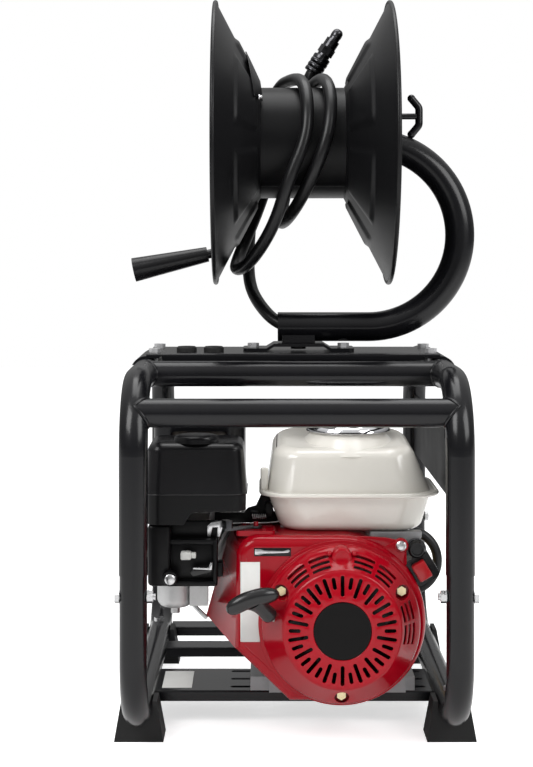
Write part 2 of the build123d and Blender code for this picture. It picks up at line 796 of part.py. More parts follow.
# Engine crankcase with its feet, the posts under the tank and the shaft's bore
crank_point = place(engine_x, 0, crank_z)
with BuildPart() as crankcase:
    with BuildSketch(facing(case_front)):
        with Locations((crank_point.X, base_top)):
            Rectangle(2 * case_half, crank_height + case_rise, align=(Align.CENTER, Align.MIN))
    extrude(amount=-(case_back - case_front))
    fillet(crankcase.edges().filter_by(Axis.Y).group_by(Axis.Z)[-1], radius=34)
    with BuildSketch(facing(foot_rows - 18)):
        with Locations((crank_point.X - case_foot_left, base_top)):
            Rectangle(case_foot_left + case_foot_right, case_foot, align=(Align.MIN, Align.MIN))
    extrude(amount=-(foot_pitch + 36))
    with BuildSketch(level(crank_z + case_rise)):
        for depth in (case_front + 20, case_back - 46):
            for x in (engine_x - 40, engine_x + 40):
                spot = place(x, depth, 0)
                with Locations((spot.X, spot.Y)):
                    Circle(11)
    extrude(amount=tank_low - crank_z - case_rise - seat_gap)
    with Locations(place(engine_x, (case_front + case_back) / 2, crank_z)):
        Cylinder(shaft_od / 2 + running_gap, 2 * case_back, rotation=(90, 0, 0), mode=Mode.SUBTRACT)
    with Locations(*[place(x, row, base_top) for x in bolt_columns for row in bolt_rows]):
        Cylinder(foot_hole, 4 * case_foot, mode=Mode.SUBTRACT)
        with Locations((0, 0, case_foot)):
            Cylinder(m8_across_flats, 60, align=(Align.CENTER, Align.CENTER, Align.MIN), mode=Mode.SUBTRACT)
write(crankcase.part, "crankcase")

with BuildPart() as engine_bolts:
    for x in bolt_columns:
        for row in bolt_rows:
            seat = Plane(place(x, row, base_top + case_foot))
            add(hex_bolt(seat, m8, case_foot + 12, m8_across_flats, m8_head))
write(engine_bolts.part, "engine_bolts")

# Cylinder: leans to the left, with its fins, head and rocker cover
lean_dir = Vector(-cos(radians(cylinder_lean)), 0, sin(radians(cylinder_lean)))
case_mid = (case_front + case_back) / 2
cylinder_foot = place(engine_x, case_mid, crank_z)


def cylinder_plane(distance):
    """The plane across the cylinder at a distance from the crankshaft; its X is back."""
    return Plane(cylinder_foot + lean_dir * distance, x_dir=(0, 1, 0), z_dir=lean_dir)


with BuildPart() as cylinder:
    with BuildSketch(cylinder_plane(cylinder_start)):
        Circle(cylinder_width / 2 - fin_out)
    extrude(amount=cylinder_end - cylinder_start)
    pitch = (cylinder_end - case_half - 22) / fin_count
    for step in range(fin_count):
        with BuildSketch(cylinder_plane(case_half + 22 + step * pitch)):
            RectangleRounded(cylinder_width, cylinder_width, 12)
        extrude(amount=fin_thick)
    add(crankcase.part, mode=Mode.SUBTRACT)
    with BuildSketch(cylinder_plane(cylinder_end)):
        RectangleRounded(cylinder_width - 6, cylinder_width - 6, 10)
    extrude(amount=head_length)
    for step in range(4):
        with BuildSketch(cylinder_plane(cylinder_end + 5 + step * 8)):
            Rectangle(cylinder_width, cylinder_width)
            Rectangle(cylinder_width - 2 * fin_out, cylinder_width - 2 * fin_out, mode=Mode.SUBTRACT)
        extrude(amount=4.5, mode=Mode.SUBTRACT)
write(cylinder.part, "cylinder")

with BuildPart() as rocker_cover:
    with BuildSketch(cylinder_plane(cylinder_end + head_length + 2 * seat_gap)):
        RectangleRounded(cylinder_width - 12, cylinder_width - 18, 14)
    extrude(amount=cover_length)
    fillet(rocker_cover.faces().sort_by(Axis.X)[0].edges(), radius=7)
write(rocker_cover.part, "rocker_cover")


# Fan cover: a pressed cowl round the flywheel, flared towards the cylinder, with the throttle's plate
def cowl_outline(left, flare, inset):
    """The cowl's outline about the crankshaft, inset by a wall."""
    r = cowl_radius - inset
    low = cowl_low - inset
    edge = left - inset
    corner = 25
    with BuildLine() as outline:
        Polyline(
            (sqrt(r**2 - low**2), -low),
            (-57 - flare * 0.6, -low),
            (-edge - flare, -34 + inset + cowl_lift * flare / cowl_flare),
            (-edge - flare * 0.4, r - corner),
        )
        TangentArc(
            (-edge - flare * 0.4, r - corner),
            (-edge - flare * 0.4 + corner, r),
            tangent=(0, 1),
        )
        Line((-edge - flare * 0.4 + corner, r), (0, r))
        ThreePointArc((0, r), (r, 0), (sqrt(r**2 - low**2), -low))
    return outline.line


def cowl_solid(inset, front, back):
    """The cowl's form between two depths, inset by a wall."""
    with BuildPart() as form:
        for depth, flare in ((front, 0), (back, cowl_flare)):
            with BuildSketch(Plane(place(engine_x, depth, crank_z), x_dir=(1, 0, 0), z_dir=(0, -1, 0))):
                add(cowl_outline(cowl_left, flare, inset))
                make_face()
        loft()
        fillet(form.faces().sort_by(Axis.Y)[0].edges(), radius=cowl_edge - inset)
    return form.part


cowl_back = case_front - 0.3
throttle_pivot = place(engine_x - 100, cowl_front + 34, crank_z + cowl_radius + 6)
with BuildPart() as fan_cover:
    add(cowl_solid(0, cowl_front, cowl_back))
    add(cowl_solid(cowl_wall, cowl_front + cowl_wall, cowl_back + 1), mode=Mode.SUBTRACT)
    with Locations(place(engine_x, cowl_front, crank_z)):
        Cylinder(cowl_mouth, 20, rotation=(90, 0, 0), mode=Mode.SUBTRACT)
    with BuildSketch(level(crank_z + cowl_radius - cowl_wall)):
        with Locations((throttle_pivot.X, throttle_pivot.Y)):
            RectangleRounded(46, 40, 6)
    extrude(amount=cowl_wall + 4)
    with Locations(throttle_pivot):
        Cylinder(3, 12)
write(fan_cover.part, "fan_cover")

# Recoil cover: a dome with radial slots, three sunk bolts and a badge disc
recoil_plane = Plane(place(engine_x, recoil_face, crank_z), x_dir=(1, 0, 0), z_dir=(0, -1, 0))
recoil_depth = cowl_front - seat_gap - recoil_face
spin_axis = Axis(place(engine_x, 0, crank_z), (0, 1, 0))
dome = [
    (0, badge_thick + recoil_wall),
    (0, badge_thick),
    (badge_radius + 0.3, badge_thick),
    (badge_radius + 0.3, 0),
    (slot_ring_inner - 2, 0),
    (slot_ring_outer + 2, 3),
    (shoulder_radius, 8),
    (recoil_radius - 2, 30),
    (recoil_radius, recoil_depth - 3),
    (recoil_radius + 4, recoil_depth - 3),
    (recoil_radius + 4, recoil_depth),
    (recoil_radius - recoil_wall, recoil_depth),
    (recoil_radius - 2 - recoil_wall, 31.5),
    (shoulder_radius - 1.5, 8 + recoil_wall),
    (slot_ring_outer + 1, 3 + recoil_wall),
    (slot_ring_inner - 2, recoil_wall),
    (badge_radius - 1.5, badge_thick + recoil_wall),
]
recoil_bolt_angles = (30, 150, 270)
rope_hole = place(engine_x - 74, recoil_face + 24, crank_z + 3)
pull = Vector(-28, -33, 36).normalized()
boss_radius = 8.0
boss_depth = 34.0
with BuildPart() as recoil_cover:
    with BuildSketch(Plane(place(engine_x, recoil_face, crank_z), x_dir=(1, 0, 0), z_dir=(0, 0, 1))):
        Polygon(*dome, align=None)
    revolve(axis=spin_axis)
    with BuildSketch(recoil_plane):
        with PolarLocations((slot_ring_inner + slot_ring_outer) / 2, slot_pairs, start_angle=90):
            SlotOverall(slot_ring_outer - slot_ring_inner, recoil_slot)
        short = (slot_ring_outer - slot_ring_inner) * 0.58
        with PolarLocations(slot_ring_outer - short / 2, slot_pairs, start_angle=90 + 180 / slot_pairs):
            SlotOverall(short, recoil_slot)
    extrude(amount=-7, mode=Mode.SUBTRACT)
    with BuildSketch(recoil_plane):
        for angle in recoil_bolt_angles:
            with Locations(Location((0, 0), angle)):
                with Locations((recoil_bolt_circle / 2, 0)):
                    Circle(boss_radius + 1)
    extrude(amount=-boss_depth, mode=Mode.SUBTRACT)
    with BuildSketch(recoil_plane.offset(-boss_depth)):
        for angle in recoil_bolt_angles:
            with Locations(Location((0, 0), angle)):
                with Locations((recoil_bolt_circle / 2, 0)):
                    Circle(boss_radius + 2)
    extrude(amount=-(recoil_depth - boss_depth))
    with BuildSketch(recoil_plane):
        for angle in recoil_bolt_angles:
            with Locations(Location((0, 0), angle)):
                with Locations((recoil_bolt_circle / 2, 0)):
                    Circle(3 + hole_gap)
    extrude(amount=-2 * recoil_depth, mode=Mode.SUBTRACT)
    with BuildSketch(recoil_plane):
        for angle in (50, 71, 109, 130, 17, 355):
            for ring in (74.5, 79.5, 84.5):
                with Locations(Location((0, 0), angle)):
                    with Locations((ring, 0)):
                        SlotOverall(20, 2.6, rotation=90)
    extrude(amount=-30, mode=Mode.SUBTRACT)
    with Locations(place(engine_x, recoil_face + badge_thick + recoil_wall, crank_z)):
        Cylinder(7, 14, rotation=(-90, 0, 0), align=(Align.CENTER, Align.CENTER, Align.MIN))
    with BuildSketch(Plane(rope_hole, z_dir=pull)):
        Circle(rope_od / 2 + turn_gap)
    extrude(amount=16, mode=Mode.SUBTRACT)
write(recoil_cover.part, "recoil_cover")

with BuildPart() as recoil_badge:
    with BuildSketch(recoil_plane.offset(-badge_thick + seat_gap)):
        Circle(badge_radius)
    extrude(amount=badge_thick)
    fillet(recoil_badge.faces().sort_by(Axis.Y)[0].edges(), radius=0.6)
write(recoil_badge.part, "recoil_badge")

with BuildPart() as recoil_bolts:
    for angle in recoil_bolt_angles:
        spot = recoil_plane.from_local_coords(
            Vector(recoil_bolt_circle / 2, 0, -boss_depth).rotate(Axis.Z, angle)
        )
        add(hex_bolt(Plane(spot, z_dir=(0, -1, 0)), 6, recoil_depth - boss_depth - 1, 10, 5))
write(recoil_bolts.part, "recoil_bolts")

# Recoil pulley on its post, flywheel and crankshaft
post_clear = 7 + running_gap
pulley_front = recoil_face + badge_thick + recoil_wall + 1.5
with BuildPart() as recoil_pulley:
    with BuildSketch(facing(pulley_front)):
        with Locations((crank_point.X, crank_z)):
            Circle(pulley_radius)
            Circle(post_clear, mode=Mode.SUBTRACT)
    extrude(amount=-12)
    groove = Plane(place(engine_x, pulley_front + 6, crank_z), z_dir=(0, 1, 0))
    with BuildSketch(groove):
        Circle(pulley_radius + 1)
        Circle(pulley_radius - rope_od - 1, mode=Mode.SUBTRACT)
    extrude(amount=rope_od / 2 + 0.5, both=True, mode=Mode.SUBTRACT)
write(recoil_pulley.part, "recoil_pulley")

flywheel_front = cowl_front + 12
with BuildPart() as flywheel:
    with BuildSketch(facing(flywheel_front)):
        with Locations((crank_point.X, crank_z)):
            Circle(flywheel_radius)
    extrude(amount=-34)
    with BuildSketch(facing(flywheel_front)):
        with Locations((crank_point.X, crank_z)):
            Circle(30)
    extrude(amount=18)
    with BuildSketch(facing(flywheel_front)):
        with Locations((crank_point.X, crank_z)):
            with PolarLocations(56, blade_count):
                Rectangle(30, 3, rotation=22)
    extrude(amount=9)
    with Locations(place(engine_x, flywheel_front, crank_z)):
        Cylinder(shaft_od / 2 - 4 + running_gap, 120, rotation=(90, 0, 0), mode=Mode.SUBTRACT)
write(flywheel.part, "flywheel")

pump_front = case_back + seat_gap
shaft_end = pump_front + pump_flange + pump_depth - 20
with BuildPart() as crankshaft:
    with BuildSketch(facing(flywheel_front - 16)):
        with Locations((crank_point.X, crank_z)):
            Circle(shaft_od / 2 - 4)
    extrude(amount=-60)
    with BuildSketch(facing(flywheel_front + 36)):
        with Locations((crank_point.X, crank_z)):
            Circle(shaft_od / 2)
    extrude(amount=-(shaft_end - flywheel_front - 36))
write(crankshaft.part, "crankshaft")

# Starter grip: an arched bar on a tapered stem, and the rope in it
bar_dir = Vector(31, 4, 10).normalized()
grip_mid = rope_hole + pull * 58 - bar_dir * 4
grip_points = [
    grip_mid - bar_dir * grip_bar / 2 - pull * 9,
    grip_mid - bar_dir * grip_bar / 6 + pull * 1,
    grip_mid + bar_dir * grip_bar / 6 + pull * 1,
    grip_mid + bar_dir * grip_bar / 2 - pull * 9,
]
with BuildPart() as starter_grip:
    add(swept_tube(grip_points, 16, grip_bar_od, 0))
    with BuildSketch(Plane(rope_hole + pull * 18, z_dir=pull)):
        Circle(9.5)
    with BuildSketch(Plane(rope_hole + pull * 55, z_dir=pull)):
        Circle(9.4)
    loft()
    with BuildSketch(Plane(rope_hole, z_dir=pull)):
        Circle(rope_od / 2 + turn_gap)
    extrude(amount=40, mode=Mode.SUBTRACT)
write(starter_grip.part, "starter_grip")

with BuildPart() as starter_rope:
    with BuildSketch(Plane(rope_hole + pull * 3, z_dir=pull)):
        Circle(rope_od / 2)
    extrude(amount=34)
write(starter_rope.part, "starter_rope")

# Fuel tank: two pressed halves joined at a seam, with a filler neck
tank_back = tank_front + tank_depth
tank_mid = (tank_front + tank_back) / 2


def tank_section(z, left, right, front, back, corner):
    """A rounded level outline of the tank."""
    middle = place((left + right) / 2, (front + back) / 2, 0)
    with BuildSketch(level(z)) as section:
        with Locations((middle.X, middle.Y)):
            RectangleRounded(right - left, back - front, corner)
    return section.sketch


tank_left = tank_x - 100.0
tank_right = tank_x + 98.0


def tank_form(inset):
    """The tank's two halves as one form, inset by its wall."""
    corner = 38 - inset
    left = tank_left + inset
    right = tank_right - inset
    front = tank_front + inset
    back = tank_back - inset
    with BuildPart() as form:
        add(tank_section(tank_low + inset, left + 16, right - 12, front + 10, back - 10, corner))
        add(tank_section(tank_seam, left, right, front, back, corner))
        loft()
        add(tank_section(tank_seam, left, right, front, back, corner))
        add(tank_section(tank_crest + 4, left + 10, right - 30, front + 20, back - 12, corner))
        loft()
        tilt = (tank_crest - tank_brow) / (tank_depth - 32)
        brow = place(tank_x, tank_front + 20, tank_brow - inset)
        split(bisect_by=Plane(brow, z_dir=(0, -tilt, 1)), keep=Keep.BOTTOM)
    return form.part


with BuildPart() as fuel_tank:
    add(tank_form(0))
    fillet(fuel_tank.faces().sort_by(Axis.Z)[-1].edges(), radius=18)
    fillet(fuel_tank.faces().sort_by(Axis.Z)[0].edges(), radius=13)
    with BuildSketch(level(tank_seam - seam_thick / 2)):
        rim = (
            tank_left - seam_width,
            tank_right + seam_width,
            tank_front - seam_width,
            tank_back + seam_width,
        )
        add(tank_section(0, *rim, 42))
    extrude(amount=seam_thick)
    neck = place(tank_x, tank_mid, 0)
    with Locations((neck.X, neck.Y, tank_high)):
        Cone(mound_od / 2, cap_od / 2 + 4, mound_rise, align=(Align.CENTER, Align.CENTER, Align.MAX))
    with BuildSketch(level(tank_high - 4)):
        with Locations((neck.X, neck.Y)):
            Circle(neck_od / 2)
    extrude(amount=neck_rise + 4)
    add(tank_form(tank_wall + 2), mode=Mode.SUBTRACT)
    with BuildSketch(level(tank_high - 20)):
        with Locations((neck.X, neck.Y)):
            Circle(neck_od / 2 - 8)
    extrude(amount=40, mode=Mode.SUBTRACT)
write(fuel_tank.part, "fuel_tank")

cap_low = tank_high + 1
with BuildPart() as fuel_cap:
    with BuildSketch(level(cap_low)):
        with Locations((neck.X, neck.Y)):
            Circle(cap_od / 2)
    extrude(amount=cap_height)
    fillet(fuel_cap.faces().sort_by(Axis.Z)[-1].edges(), radius=5)
    with BuildSketch(level(cap_low)):
        with Locations((neck.X, neck.Y)):
            Circle(neck_od / 2 + turn_gap)
    extrude(amount=neck_rise - 1 + turn_gap, mode=Mode.SUBTRACT)
    with BuildSketch(level(cap_low + neck_rise - 1 + turn_gap)):
        with Locations((neck.X, neck.Y)):
            Circle(neck_od / 2 - 8 - turn_gap)
    extrude(amount=-12)
write(fuel_cap.part, "fuel_cap")

# Air cleaner: a lower case and a deep cover
cleaner_back = cleaner_front + cleaner_depth
inner = shell_wall + 6
with BuildPart() as cleaner_cover:
    add(tank_section(cleaner_seam + seat_gap, cleaner_left, cleaner_right, cleaner_front, cleaner_back, 18))
    crest = (cleaner_left + 3, cleaner_right - 4, cleaner_front + 5, cleaner_back - 5)
    add(tank_section(cleaner_high, *crest, 18))
    loft()
    fillet(cleaner_cover.faces().sort_by(Axis.Z)[-1].edges(), radius=11)
    with BuildSketch(level(cleaner_seam)):
        room = (cleaner_left + inner, cleaner_right - inner, cleaner_front + inner, cleaner_back - inner)
        add(tank_section(0, *room, 10))
    extrude(amount=cleaner_high - cleaner_seam - 12, mode=Mode.SUBTRACT)
    knob = place((cleaner_left + cleaner_right) / 2, cleaner_front + 30, 0)
    with BuildSketch(level(cleaner_high)):
        with Locations((knob.X, knob.Y)):
            Circle(15)
            RectangleRounded(46, 9, 4)
    extrude(amount=7)
write(cleaner_cover.part, "cleaner_cover")

with BuildPart() as cleaner_case:
    with BuildSketch(level(cleaner_low)):
        add(tank_section(0, cleaner_left + 1, cleaner_right - 1, cleaner_front + 1, cleaner_back - 1, 17))
    extrude(amount=cleaner_seam - cleaner_low - seat_gap)
    with BuildSketch(level(cleaner_low)):
        add(tank_section(0, cleaner_left + 1, cleaner_left + 46, cleaner_front + 1, cleaner_back - 1, 17))
    extrude(amount=-16)
write(cleaner_case.part, "cleaner_case")

# Carburettor with its bowl, and the control cover in front of it
carb_x = -132.0
carb_front = 104.0
carb_depth = 50.0
carb_low = 196.0
bowl_x = -145.0
bowl_radius = 22.0
bowl_depth = 44.0
intake_x = -115.0
intake_z = 226.0
intake_radius = 14.0
control_high = cleaner_low - 16
with BuildPart() as carburettor:
    with BuildSketch(level(carb_low)):
        spot = place(carb_x, carb_front + carb_depth / 2, 0)
        with Locations((spot.X, spot.Y)):
            RectangleRounded(56, carb_depth, 8)
    extrude(amount=control_high - carb_low - seat_gap)
    with BuildSketch(level(carb_low)):
        bowl = place(bowl_x, carb_front + carb_depth / 2, 0)
        with Locations((bowl.X, bowl.Y)):
            Circle(bowl_radius)
    extrude(amount=-bowl_depth)
    fillet(carburettor.faces().sort_by(Axis.Z)[0].edges(), radius=11)
    with BuildSketch(level(carb_low - bowl_depth)):
        with Locations((bowl.X, bowl.Y)):
            RegularPolygon(5.5, 6)
    extrude(amount=-8)
    with BuildSketch(facing(carb_front + 6)):
        with Locations((cage_x + bowl_x + bowl_radius + 7, carb_low - bowl_depth + 4)):
            Rectangle(22, bowl_depth, align=(Align.CENTER, Align.MIN))
    extrude(amount=-30)
    head_front = case_mid - (cylinder_width - 6) / 2
    with BuildSketch(facing(carb_front + carb_depth - 2)):
        with Locations((cage_x + intake_x, intake_z)):
            Circle(intake_radius)
    extrude(amount=-(head_front - seat_gap - carb_front - carb_depth + 2))
write(carburettor.part, "carburettor")

choke_spot = place(-128, control_front, 225)
fuel_spot = place(-118, control_front, 205)
with BuildPart() as control_cover:
    with BuildSketch(facing(control_front)):
        with Locations((cage_x + (control_left + control_right) / 2, (control_low + control_high) / 2)):
            RectangleRounded(control_right - control_left, control_high - control_low, 14)
    extrude(amount=-(carb_front - control_front - seat_gap))
    fillet(control_cover.faces().sort_by(Axis.Y)[0].edges(), radius=4)
    with Locations(place(-148, control_front, 203)):
        Cylinder(8, 9, rotation=(90, 0, 0), align=(Align.CENTER, Align.CENTER, Align.MIN))
    for spot in (choke_spot, fuel_spot):
        with Locations(spot):
            Cylinder(3 + running_gap, 44, rotation=(90, 0, 0), mode=Mode.SUBTRACT)
write(control_cover.part, "control_cover")


def lever(pivot, reach, width, angle):
    """A small lever on a pin, on the control cover's front."""
    along = Vector(cos(radians(angle)), 0, sin(radians(angle)))
    front = Plane(pivot - Vector(0, 0.3, 0), x_dir=along, z_dir=(0, -1, 0))
    with BuildPart() as arm:
        with BuildSketch(front):
            Circle(lever_od / 2 + 1)
            with Locations((reach / 2, 0)):
                SlotOverall(reach + width, width)
        extrude(amount=4)
        with BuildSketch(front.offset(4)):
            with Locations((reach, 0)):
                SlotOverall(width + 5, width, rotation=90)
        extrude(amount=7)
        with BuildSketch(front):
            Circle(3)
        extrude(amount=-16)
    return arm.part


write(lever(choke_spot, 22, 7, 165), "choke_lever")
write(lever(fuel_spot, 20, 6, 10), "fuel_lever")

# Throttle lever on the fan cover's plate
with BuildPart() as throttle_lever:
    base = level(crank_z + cowl_radius + 4.6)
    with BuildSketch(base):
        with Locations((throttle_pivot.X, throttle_pivot.Y)):
            Circle(8)
            with Locations((-17, -9)):
                SlotOverall(46, 9, rotation=28)
            Circle(3 + running_gap, mode=Mode.SUBTRACT)
    extrude(amount=3)
    with BuildSketch(base.offset(3)):
        with Locations((throttle_pivot.X - 34, throttle_pivot.Y - 18)):
            RectangleRounded(9, 16, 3, rotation=28)
    extrude(amount=9)
write(throttle_lever.part, "throttle_lever")

# Engine switch: a box on the cowl's right shoulder with a turning knob
switch_angle = 31.0
switch_out = cowl_radius + 14
switch_spot = place(
    engine_x + switch_out * cos(radians(switch_angle)),
    cowl_front + 20,
    crank_z + switch_out * sin(radians(switch_angle)),
)
with BuildPart() as engine_switch:
    radial = Plane(
        switch_spot,
        x_dir=(cos(radians(switch_angle)), 0, sin(radians(switch_angle))),
        z_dir=(0, -1, 0),
    )
    with BuildSketch(radial):
        RectangleRounded(30, 34, 5)
    extrude(amount=-30)
    with BuildSketch(radial):
        Circle(4 + running_gap)
    extrude(amount=-30, mode=Mode.SUBTRACT)
    add(cowl_solid(-0.2, cowl_front, cowl_back), mode=Mode.SUBTRACT)
write(engine_switch.part, "engine_switch")

with BuildPart() as switch_knob:
    with BuildSketch(radial.offset(0.3)):
        Circle(12)
    extrude(amount=5)
    with BuildSketch(radial.offset(5.3)):
        RectangleRounded(10, 26, 3)
    extrude(amount=11)
    with BuildSketch(radial.offset(0.3)):
        Circle(4)
    extrude(amount=-16)
write(switch_knob.part, "switch_knob")

# Muffler and its louvred guard
muffler_mid = place((muffler_left + muffler_right) / 2, muffler_front + muffler_depth / 2, 0)
muffler_width = muffler_right - muffler_left
with BuildPart() as muffler:
    with BuildSketch(level(muffler_low)):
        with Locations((muffler_mid.X, muffler_mid.Y)):
            RectangleRounded(muffler_width, muffler_depth, 26)
    extrude(amount=muffler_high - muffler_low)
    fillet(muffler.edges().group_by(Axis.Z)[-1], radius=12)
    outlet = place(muffler_left + 30, muffler_front + muffler_depth, (muffler_low + muffler_high) / 2)
    with Locations(outlet):
        Cylinder(11, 14, rotation=(90, 0, 0), align=(Align.CENTER, Align.CENTER, Align.CENTER))
    with Locations(place(-110, 262, muffler_low)):
        Cylinder(14, 2 * (muffler_low - 268), mode=Mode.ADD)
    add(cylinder.part, mode=Mode.SUBTRACT)
    add(rocker_cover.part, mode=Mode.SUBTRACT)
write(muffler.part, "muffler")

guard_low = muffler_low + 6
with BuildPart() as muffler_guard:
    with BuildSketch(level(guard_low)):
        with Locations((muffler_mid.X, muffler_mid.Y)):
            RectangleRounded(muffler_width + 2 * guard_gap, muffler_depth + 2 * guard_gap, 26)
            RectangleRounded(
                muffler_width + 2 * guard_gap - 2 * guard_sheet,
                muffler_depth + 2 * guard_gap - 2 * guard_sheet,
                26 - guard_sheet,
                mode=Mode.SUBTRACT,
            )
    extrude(amount=muffler_high + guard_gap - guard_low)
    with BuildSketch(level(muffler_high + guard_gap - guard_sheet)):
        with Locations((muffler_mid.X, muffler_mid.Y)):
            RectangleRounded(muffler_width + 2 * guard_gap, muffler_depth + 2 * guard_gap, 26)
            with GridLocations(0, 18, 1, 6):
                SlotOverall(76, 8, mode=Mode.SUBTRACT)
    extrude(amount=guard_sheet)
    with BuildSketch(facing(muffler_front - 2 * guard_gap)):
        with Locations((muffler_mid.X, (guard_low + muffler_high) / 2)):
            with GridLocations(0, 15, 1, 4):
                SlotOverall(70, 7)
    extrude(amount=-(muffler_depth + 4 * guard_gap), mode=Mode.SUBTRACT)
    for x in (-1, 1):
        for y in (-1, 1):
            out = muffler_depth / 2 + guard_gap / 2 - 0.4
            with Locations(muffler_mid + Vector(x * 22, y * out, guard_low + 4)):
                Cylinder(4, guard_gap - 1, rotation=(90, 0, 0))
    with Locations(outlet):
        Cylinder(13, 30, rotation=(90, 0, 0), mode=Mode.SUBTRACT)
write(muffler_guard.part, "muffler_guard")

# Pump: crankcase on the engine's flange, brass manifold on its right
pump_mid = pump_front + pump_flange + pump_depth / 2
pump_back = pump_front + pump_flange + pump_depth
with BuildPart() as pump_case:
    with BuildSketch(facing(pump_front)):
        with Locations((crank_point.X, crank_z)):
            Circle(pump_flange_od / 2)
    extrude(amount=-pump_flange)
    with BuildSketch(facing(pump_front + pump_flange)):
        with Locations((crank_point.X, crank_z)):
            Rectangle(pump_left + pump_right, 2 * pump_half)
    extrude(amount=-pump_depth)
    fillet(pump_case.edges().filter_by(Axis.Y).group_by(SortBy.LENGTH)[-1], radius=10)
    for step in range(5):
        with Locations(place(engine_x, pump_front + pump_flange + 16 + step * 20, crank_z + pump_half)):
            Box(70, 5, 8)
    with Locations(place(engine_x, pump_front, crank_z)):
        Cylinder(
            shaft_od / 2 + running_gap,
            2 * (shaft_end + 4 - pump_front),
            rotation=(90, 0, 0),
            mode=Mode.SUBTRACT,
        )
write(pump_case.part, "pump_case")

pump_side = engine_x + (pump_left + pump_right) / 2
manifold_x = pump_side + seat_gap
unloader_x = manifold_x + manifold_width / 2
unloader_low = crank_z + manifold_half + seat_gap
bypass_x = unloader_x + 26 + seat_gap
bypass_top = unloader_low + 15
lower_port_z = bypass_top - 2 * bypass_radius
with BuildPart() as pump_manifold:
    with BuildSketch(across(manifold_x)):
        with Locations((pump_mid - hoop_depth / 2, crank_z)):
            RectangleRounded(pump_depth - 8, 2 * manifold_half, 8)
    extrude(amount=manifold_width)
    for row in (-1, 1):
        for column in (-1, 0, 1):
            spot = place(manifold_x + manifold_width, pump_mid + column * 32, crank_z + row * 27)
            with Locations(spot):
                Cylinder(12, 8, rotation=(0, 90, 0), align=(Align.CENTER, Align.CENTER, Align.CENTER))
    with BuildSketch(across(manifold_x + manifold_width)):
        with Locations((pump_mid - hoop_depth / 2, lower_port_z)):
            Circle(9)
    extrude(amount=bypass_x - manifold_x - manifold_width - seat_gap)
write(pump_manifold.part, "pump_manifold")

# Unloader on the manifold's crown, with its knob
with BuildPart() as unloader:
    spot = place(unloader_x, pump_mid, 0)
    for z, height, radius in ((0, 30, 15), (30, 14, 11)):
        with BuildSketch(level(unloader_low + z)):
            with Locations((spot.X, spot.Y)):
                Circle(radius)
        extrude(amount=height)
    with BuildSketch(level(unloader_low + 44)):
        with Locations((spot.X, spot.Y)):
            Circle(4)
    extrude(amount=18)
    with Locations(place(unloader_x, pump_mid, unloader_low + 15)):
        Cylinder(9, 26, rotation=(0, 90, 0), align=(Align.CENTER, Align.CENTER, Align.MIN))
write(unloader.part, "unloader")

with BuildPart() as unloader_knob:
    with BuildSketch(level(unloader_low + 44 + turn_gap)):
        with Locations((spot.X, spot.Y)):
            Circle(knob_od / 2)
            with PolarLocations(knob_od / 2, 12):
                Circle(2.4, mode=Mode.SUBTRACT)
            Circle(4 + running_gap, mode=Mode.SUBTRACT)
    extrude(amount=16)
write(unloader_knob.part, "unloader_knob")

# Bypass hose: an arch from the unloader's side port down to the manifold's lower port
with BuildPart() as bypass_hose:
    with BuildLine() as bypass_path:
        start = place(bypass_x, pump_mid, bypass_top)
        turn_in = start + Vector(bypass_od / 2, 0, 0)
        finish = place(bypass_x, pump_mid, lower_port_z)
        turn_out = finish + Vector(bypass_od / 2, 0, 0)
        middle = place(bypass_x + bypass_od / 2 + bypass_radius, pump_mid, bypass_top - bypass_radius)
        Line(start, turn_in)
        ThreePointArc(turn_in, middle, turn_out)
        Line(turn_out, finish)
    with BuildSketch(Plane(start, z_dir=(1, 0, 0))):
        Circle(bypass_od / 2)
    sweep()
write(bypass_hose.part, "bypass_hose")

# Water inlet and pressure outlet on the manifold's back
manifold_back = pump_mid + pump_depth / 2 - 4
with BuildPart() as water_inlet:
    with BuildSketch(facing(manifold_back + seat_gap)):
        with Locations((cage_x + unloader_x, crank_z - 24)):
            RegularPolygon(17, 6)
    extrude(amount=-12)
    with BuildSketch(facing(manifold_back + seat_gap + 12)):
        with Locations((cage_x + unloader_x, crank_z - 24)):
            Circle(inlet_od / 2)
    extrude(amount=-18)
    with BuildSketch(facing(manifold_back + seat_gap + 30)):
        with Locations((cage_x + unloader_x, crank_z - 24)):
            Circle(8)
    extrude(amount=24, mode=Mode.SUBTRACT)
write(water_inlet.part, "water_inlet")

with BuildPart() as pressure_outlet:
    with BuildSketch(facing(manifold_back + seat_gap)):
        with Locations((cage_x + unloader_x, crank_z + 22)):
            RegularPolygon(14, 6)
    extrude(amount=-12)
    with BuildSketch(facing(manifold_back + seat_gap + 12)):
        with Locations((cage_x + unloader_x, crank_z + 22)):
            Circle(outlet_od / 2)
    extrude(amount=-16)
    with BuildSketch(facing(manifold_back + seat_gap + 28)):
        with Locations((cage_x + unloader_x, crank_z + 22)):
            Circle(5)
    extrude(amount=20, mode=Mode.SUBTRACT)
write(pressure_outlet.part, "pressure_outlet")

# Oil filler cap on the crankcase's front left corner
oil_spot = place(engine_x - case_half, case_back - 22, base_top + 46)
with BuildPart() as oil_cap:
    with BuildSketch(Plane(oil_spot - Vector(seat_gap + turn_gap, 0, 0), z_dir=(-1, 0, 0))):
        Circle(14)
    extrude(amount=7)
    with BuildSketch(Plane(oil_spot - Vector(seat_gap + turn_gap + 7, 0, 0), z_dir=(-1, 0, 0))):
        Rectangle(24, 6)
    extrude(amount=9)
write(oil_cap.part, "oil_cap")


# Jumper hose: from the arm's open end up behind the drum, then loosely round it
def round_drum(turn, x, radius):
    """A point round the drum: turn in degrees from the top, forwards first."""
    swing = radians(turn)
    return place(reel_x + x, reel_mid - radius * sin(swing), axle_z + radius * cos(swing))


